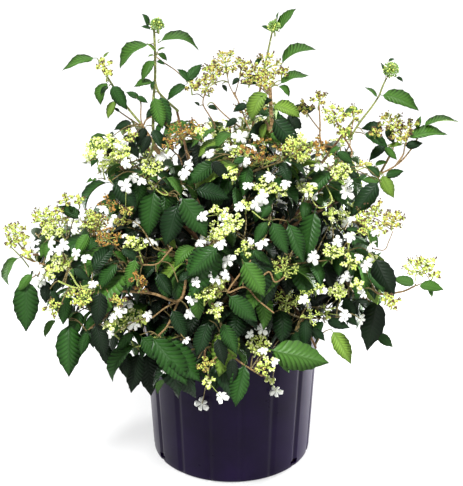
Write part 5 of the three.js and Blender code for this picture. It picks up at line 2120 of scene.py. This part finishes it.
class VIBURNUM_OT_leaves(bpy.types.Operator):
    """Put a toothed, pleated leaf at every leaf's place"""

    bl_idname = "viburnum.leaves"
    bl_label = "Leaves"

    def execute(self, context):
        template = leaf_template()
        materials = [finishes()[kind + side] for kind in LEAF_KINDS for side in ("", "_under")]
        for zone in ZONES:
            leaves, dealt = [], []
            for mass in zone_masses(zone):
                for leaf in mass.leaves:
                    deal = seeded(9000 * mass.limb.index + leaf.spray * 13 + 5)()
                    deal = min(0.999, deal + (0.12 if leaf.spray == END_SPRAY else 0))
                    kind = leaf.kind
                    if kind is None:
                        inward = np.linalg.norm((leaf.point(0.6, 0, 0) - HEART) * (1, 1, 1.25))
                        dealt_kind = sum(deal > edge for edge in LEAF_DEALS[zone])
                        # Leaves near the crown's middle take the deep colour, painted shade.
                        kind = LEAF_KINDS.index("deep") if inward < DEEP_SHADE_REACH else dealt_kind
                    leaves.append(leaf)
                    dealt.append(2 * kind)
            placed = place_leaves(leaves, template)
            piece = joined("leaves_" + zone, [(placed, template, dealt)], materials)
            settle(piece, zone_nodes(zone))
        return {"FINISHED"}


class VIBURNUM_OT_blossom(bpy.types.Operator):
    """Set the flower heads with their stalks, buds and white florets"""

    bl_idname = "viburnum.blossom"
    bl_label = "Blossom"

    def execute(self, context):
        settings = context.scene.shrub_settings
        materials = [finishes()[name] for name in BLOOM_FINISHES]
        for zone in ZONES:
            bloom = Bloom()
            for mass in zone_masses(zone):
                for head in mass.heads:
                    bloom.add(head, settings.bud / MM, settings.floret / MM)
            buds = place_buds(bloom.buds, bud_template())
            finish = np.array(bloom.bud_finish)
            late = np.isin(finish, (GOLD, SPENT, DARK))
            pieces = {
                "flower_stalks_": [bars(bloom.stalks, 5, STALK), bars(bloom.rays, 3, STALK)],
                "fresh_buds_": [(buds[~late], bud_template(), finish[~late])],
                "late_buds_": [(buds[late], bud_template(), finish[late])],
            }
            for name, parts in pieces.items():
                settle(joined(name + zone, parts, materials), zone_nodes(zone))
            if bloom.florets:
                placed = place_florets(bloom.florets, floret_template())
                parts = [(placed, floret_template(), 0)]
                piece = joined("florets_" + zone, parts, [finishes()["petal"]])
                settle(piece, zone_nodes(zone))
        return {"FINISHED"}


OPERATORS = (
    VIBURNUM_OT_stage,
    VIBURNUM_OT_pot,
    VIBURNUM_OT_mix,
    VIBURNUM_OT_limbs,
    VIBURNUM_OT_twigs,
    VIBURNUM_OT_leaves,
    VIBURNUM_OT_blossom,
)


class VIBURNUM_PT_panel(bpy.types.Panel):
    """The shrub's settings and the steps that make it"""

    bl_idname = "VIBURNUM_PT_panel"
    bl_label = "Viburnum"
    bl_space_type = "VIEW_3D"
    bl_region_type = "UI"
    bl_category = "Viburnum"

    def draw(self, context):
        for operator in OPERATORS:
            self.layout.operator(operator.bl_idname)
        for settings in ("pot_settings", "shrub_settings", "colour_settings"):
            box = self.layout.box()
            group = getattr(context.scene, settings)
            for name in group.bl_rna.properties.keys():
                if name not in ("rna_type", "name"):
                    box.prop(group, name)


CLASSES = (PotSettings, ShrubSettings, ColourSettings, *OPERATORS, VIBURNUM_PT_panel)


def register():
    for cls in CLASSES:
        bpy.utils.register_class(cls)
    bpy.types.Scene.pot_settings = PointerProperty(type=PotSettings)
    bpy.types.Scene.shrub_settings = PointerProperty(type=ShrubSettings)
    bpy.types.Scene.colour_settings = PointerProperty(type=ColourSettings)


def unregister():
    for name in ("pot_settings", "shrub_settings", "colour_settings"):
        delattr(bpy.types.Scene, name)
    for cls in reversed(CLASSES):
        bpy.utils.unregister_class(cls)


def main():
    register()
    bpy.ops.viburnum.stage()
    bpy.ops.viburnum.pot()
    bpy.ops.viburnum.mix()
    bpy.ops.viburnum.limbs()
    bpy.ops.viburnum.twigs()
    bpy.ops.viburnum.leaves()
    bpy.ops.viburnum.blossom()


if __name__ == "__main__":
    main()
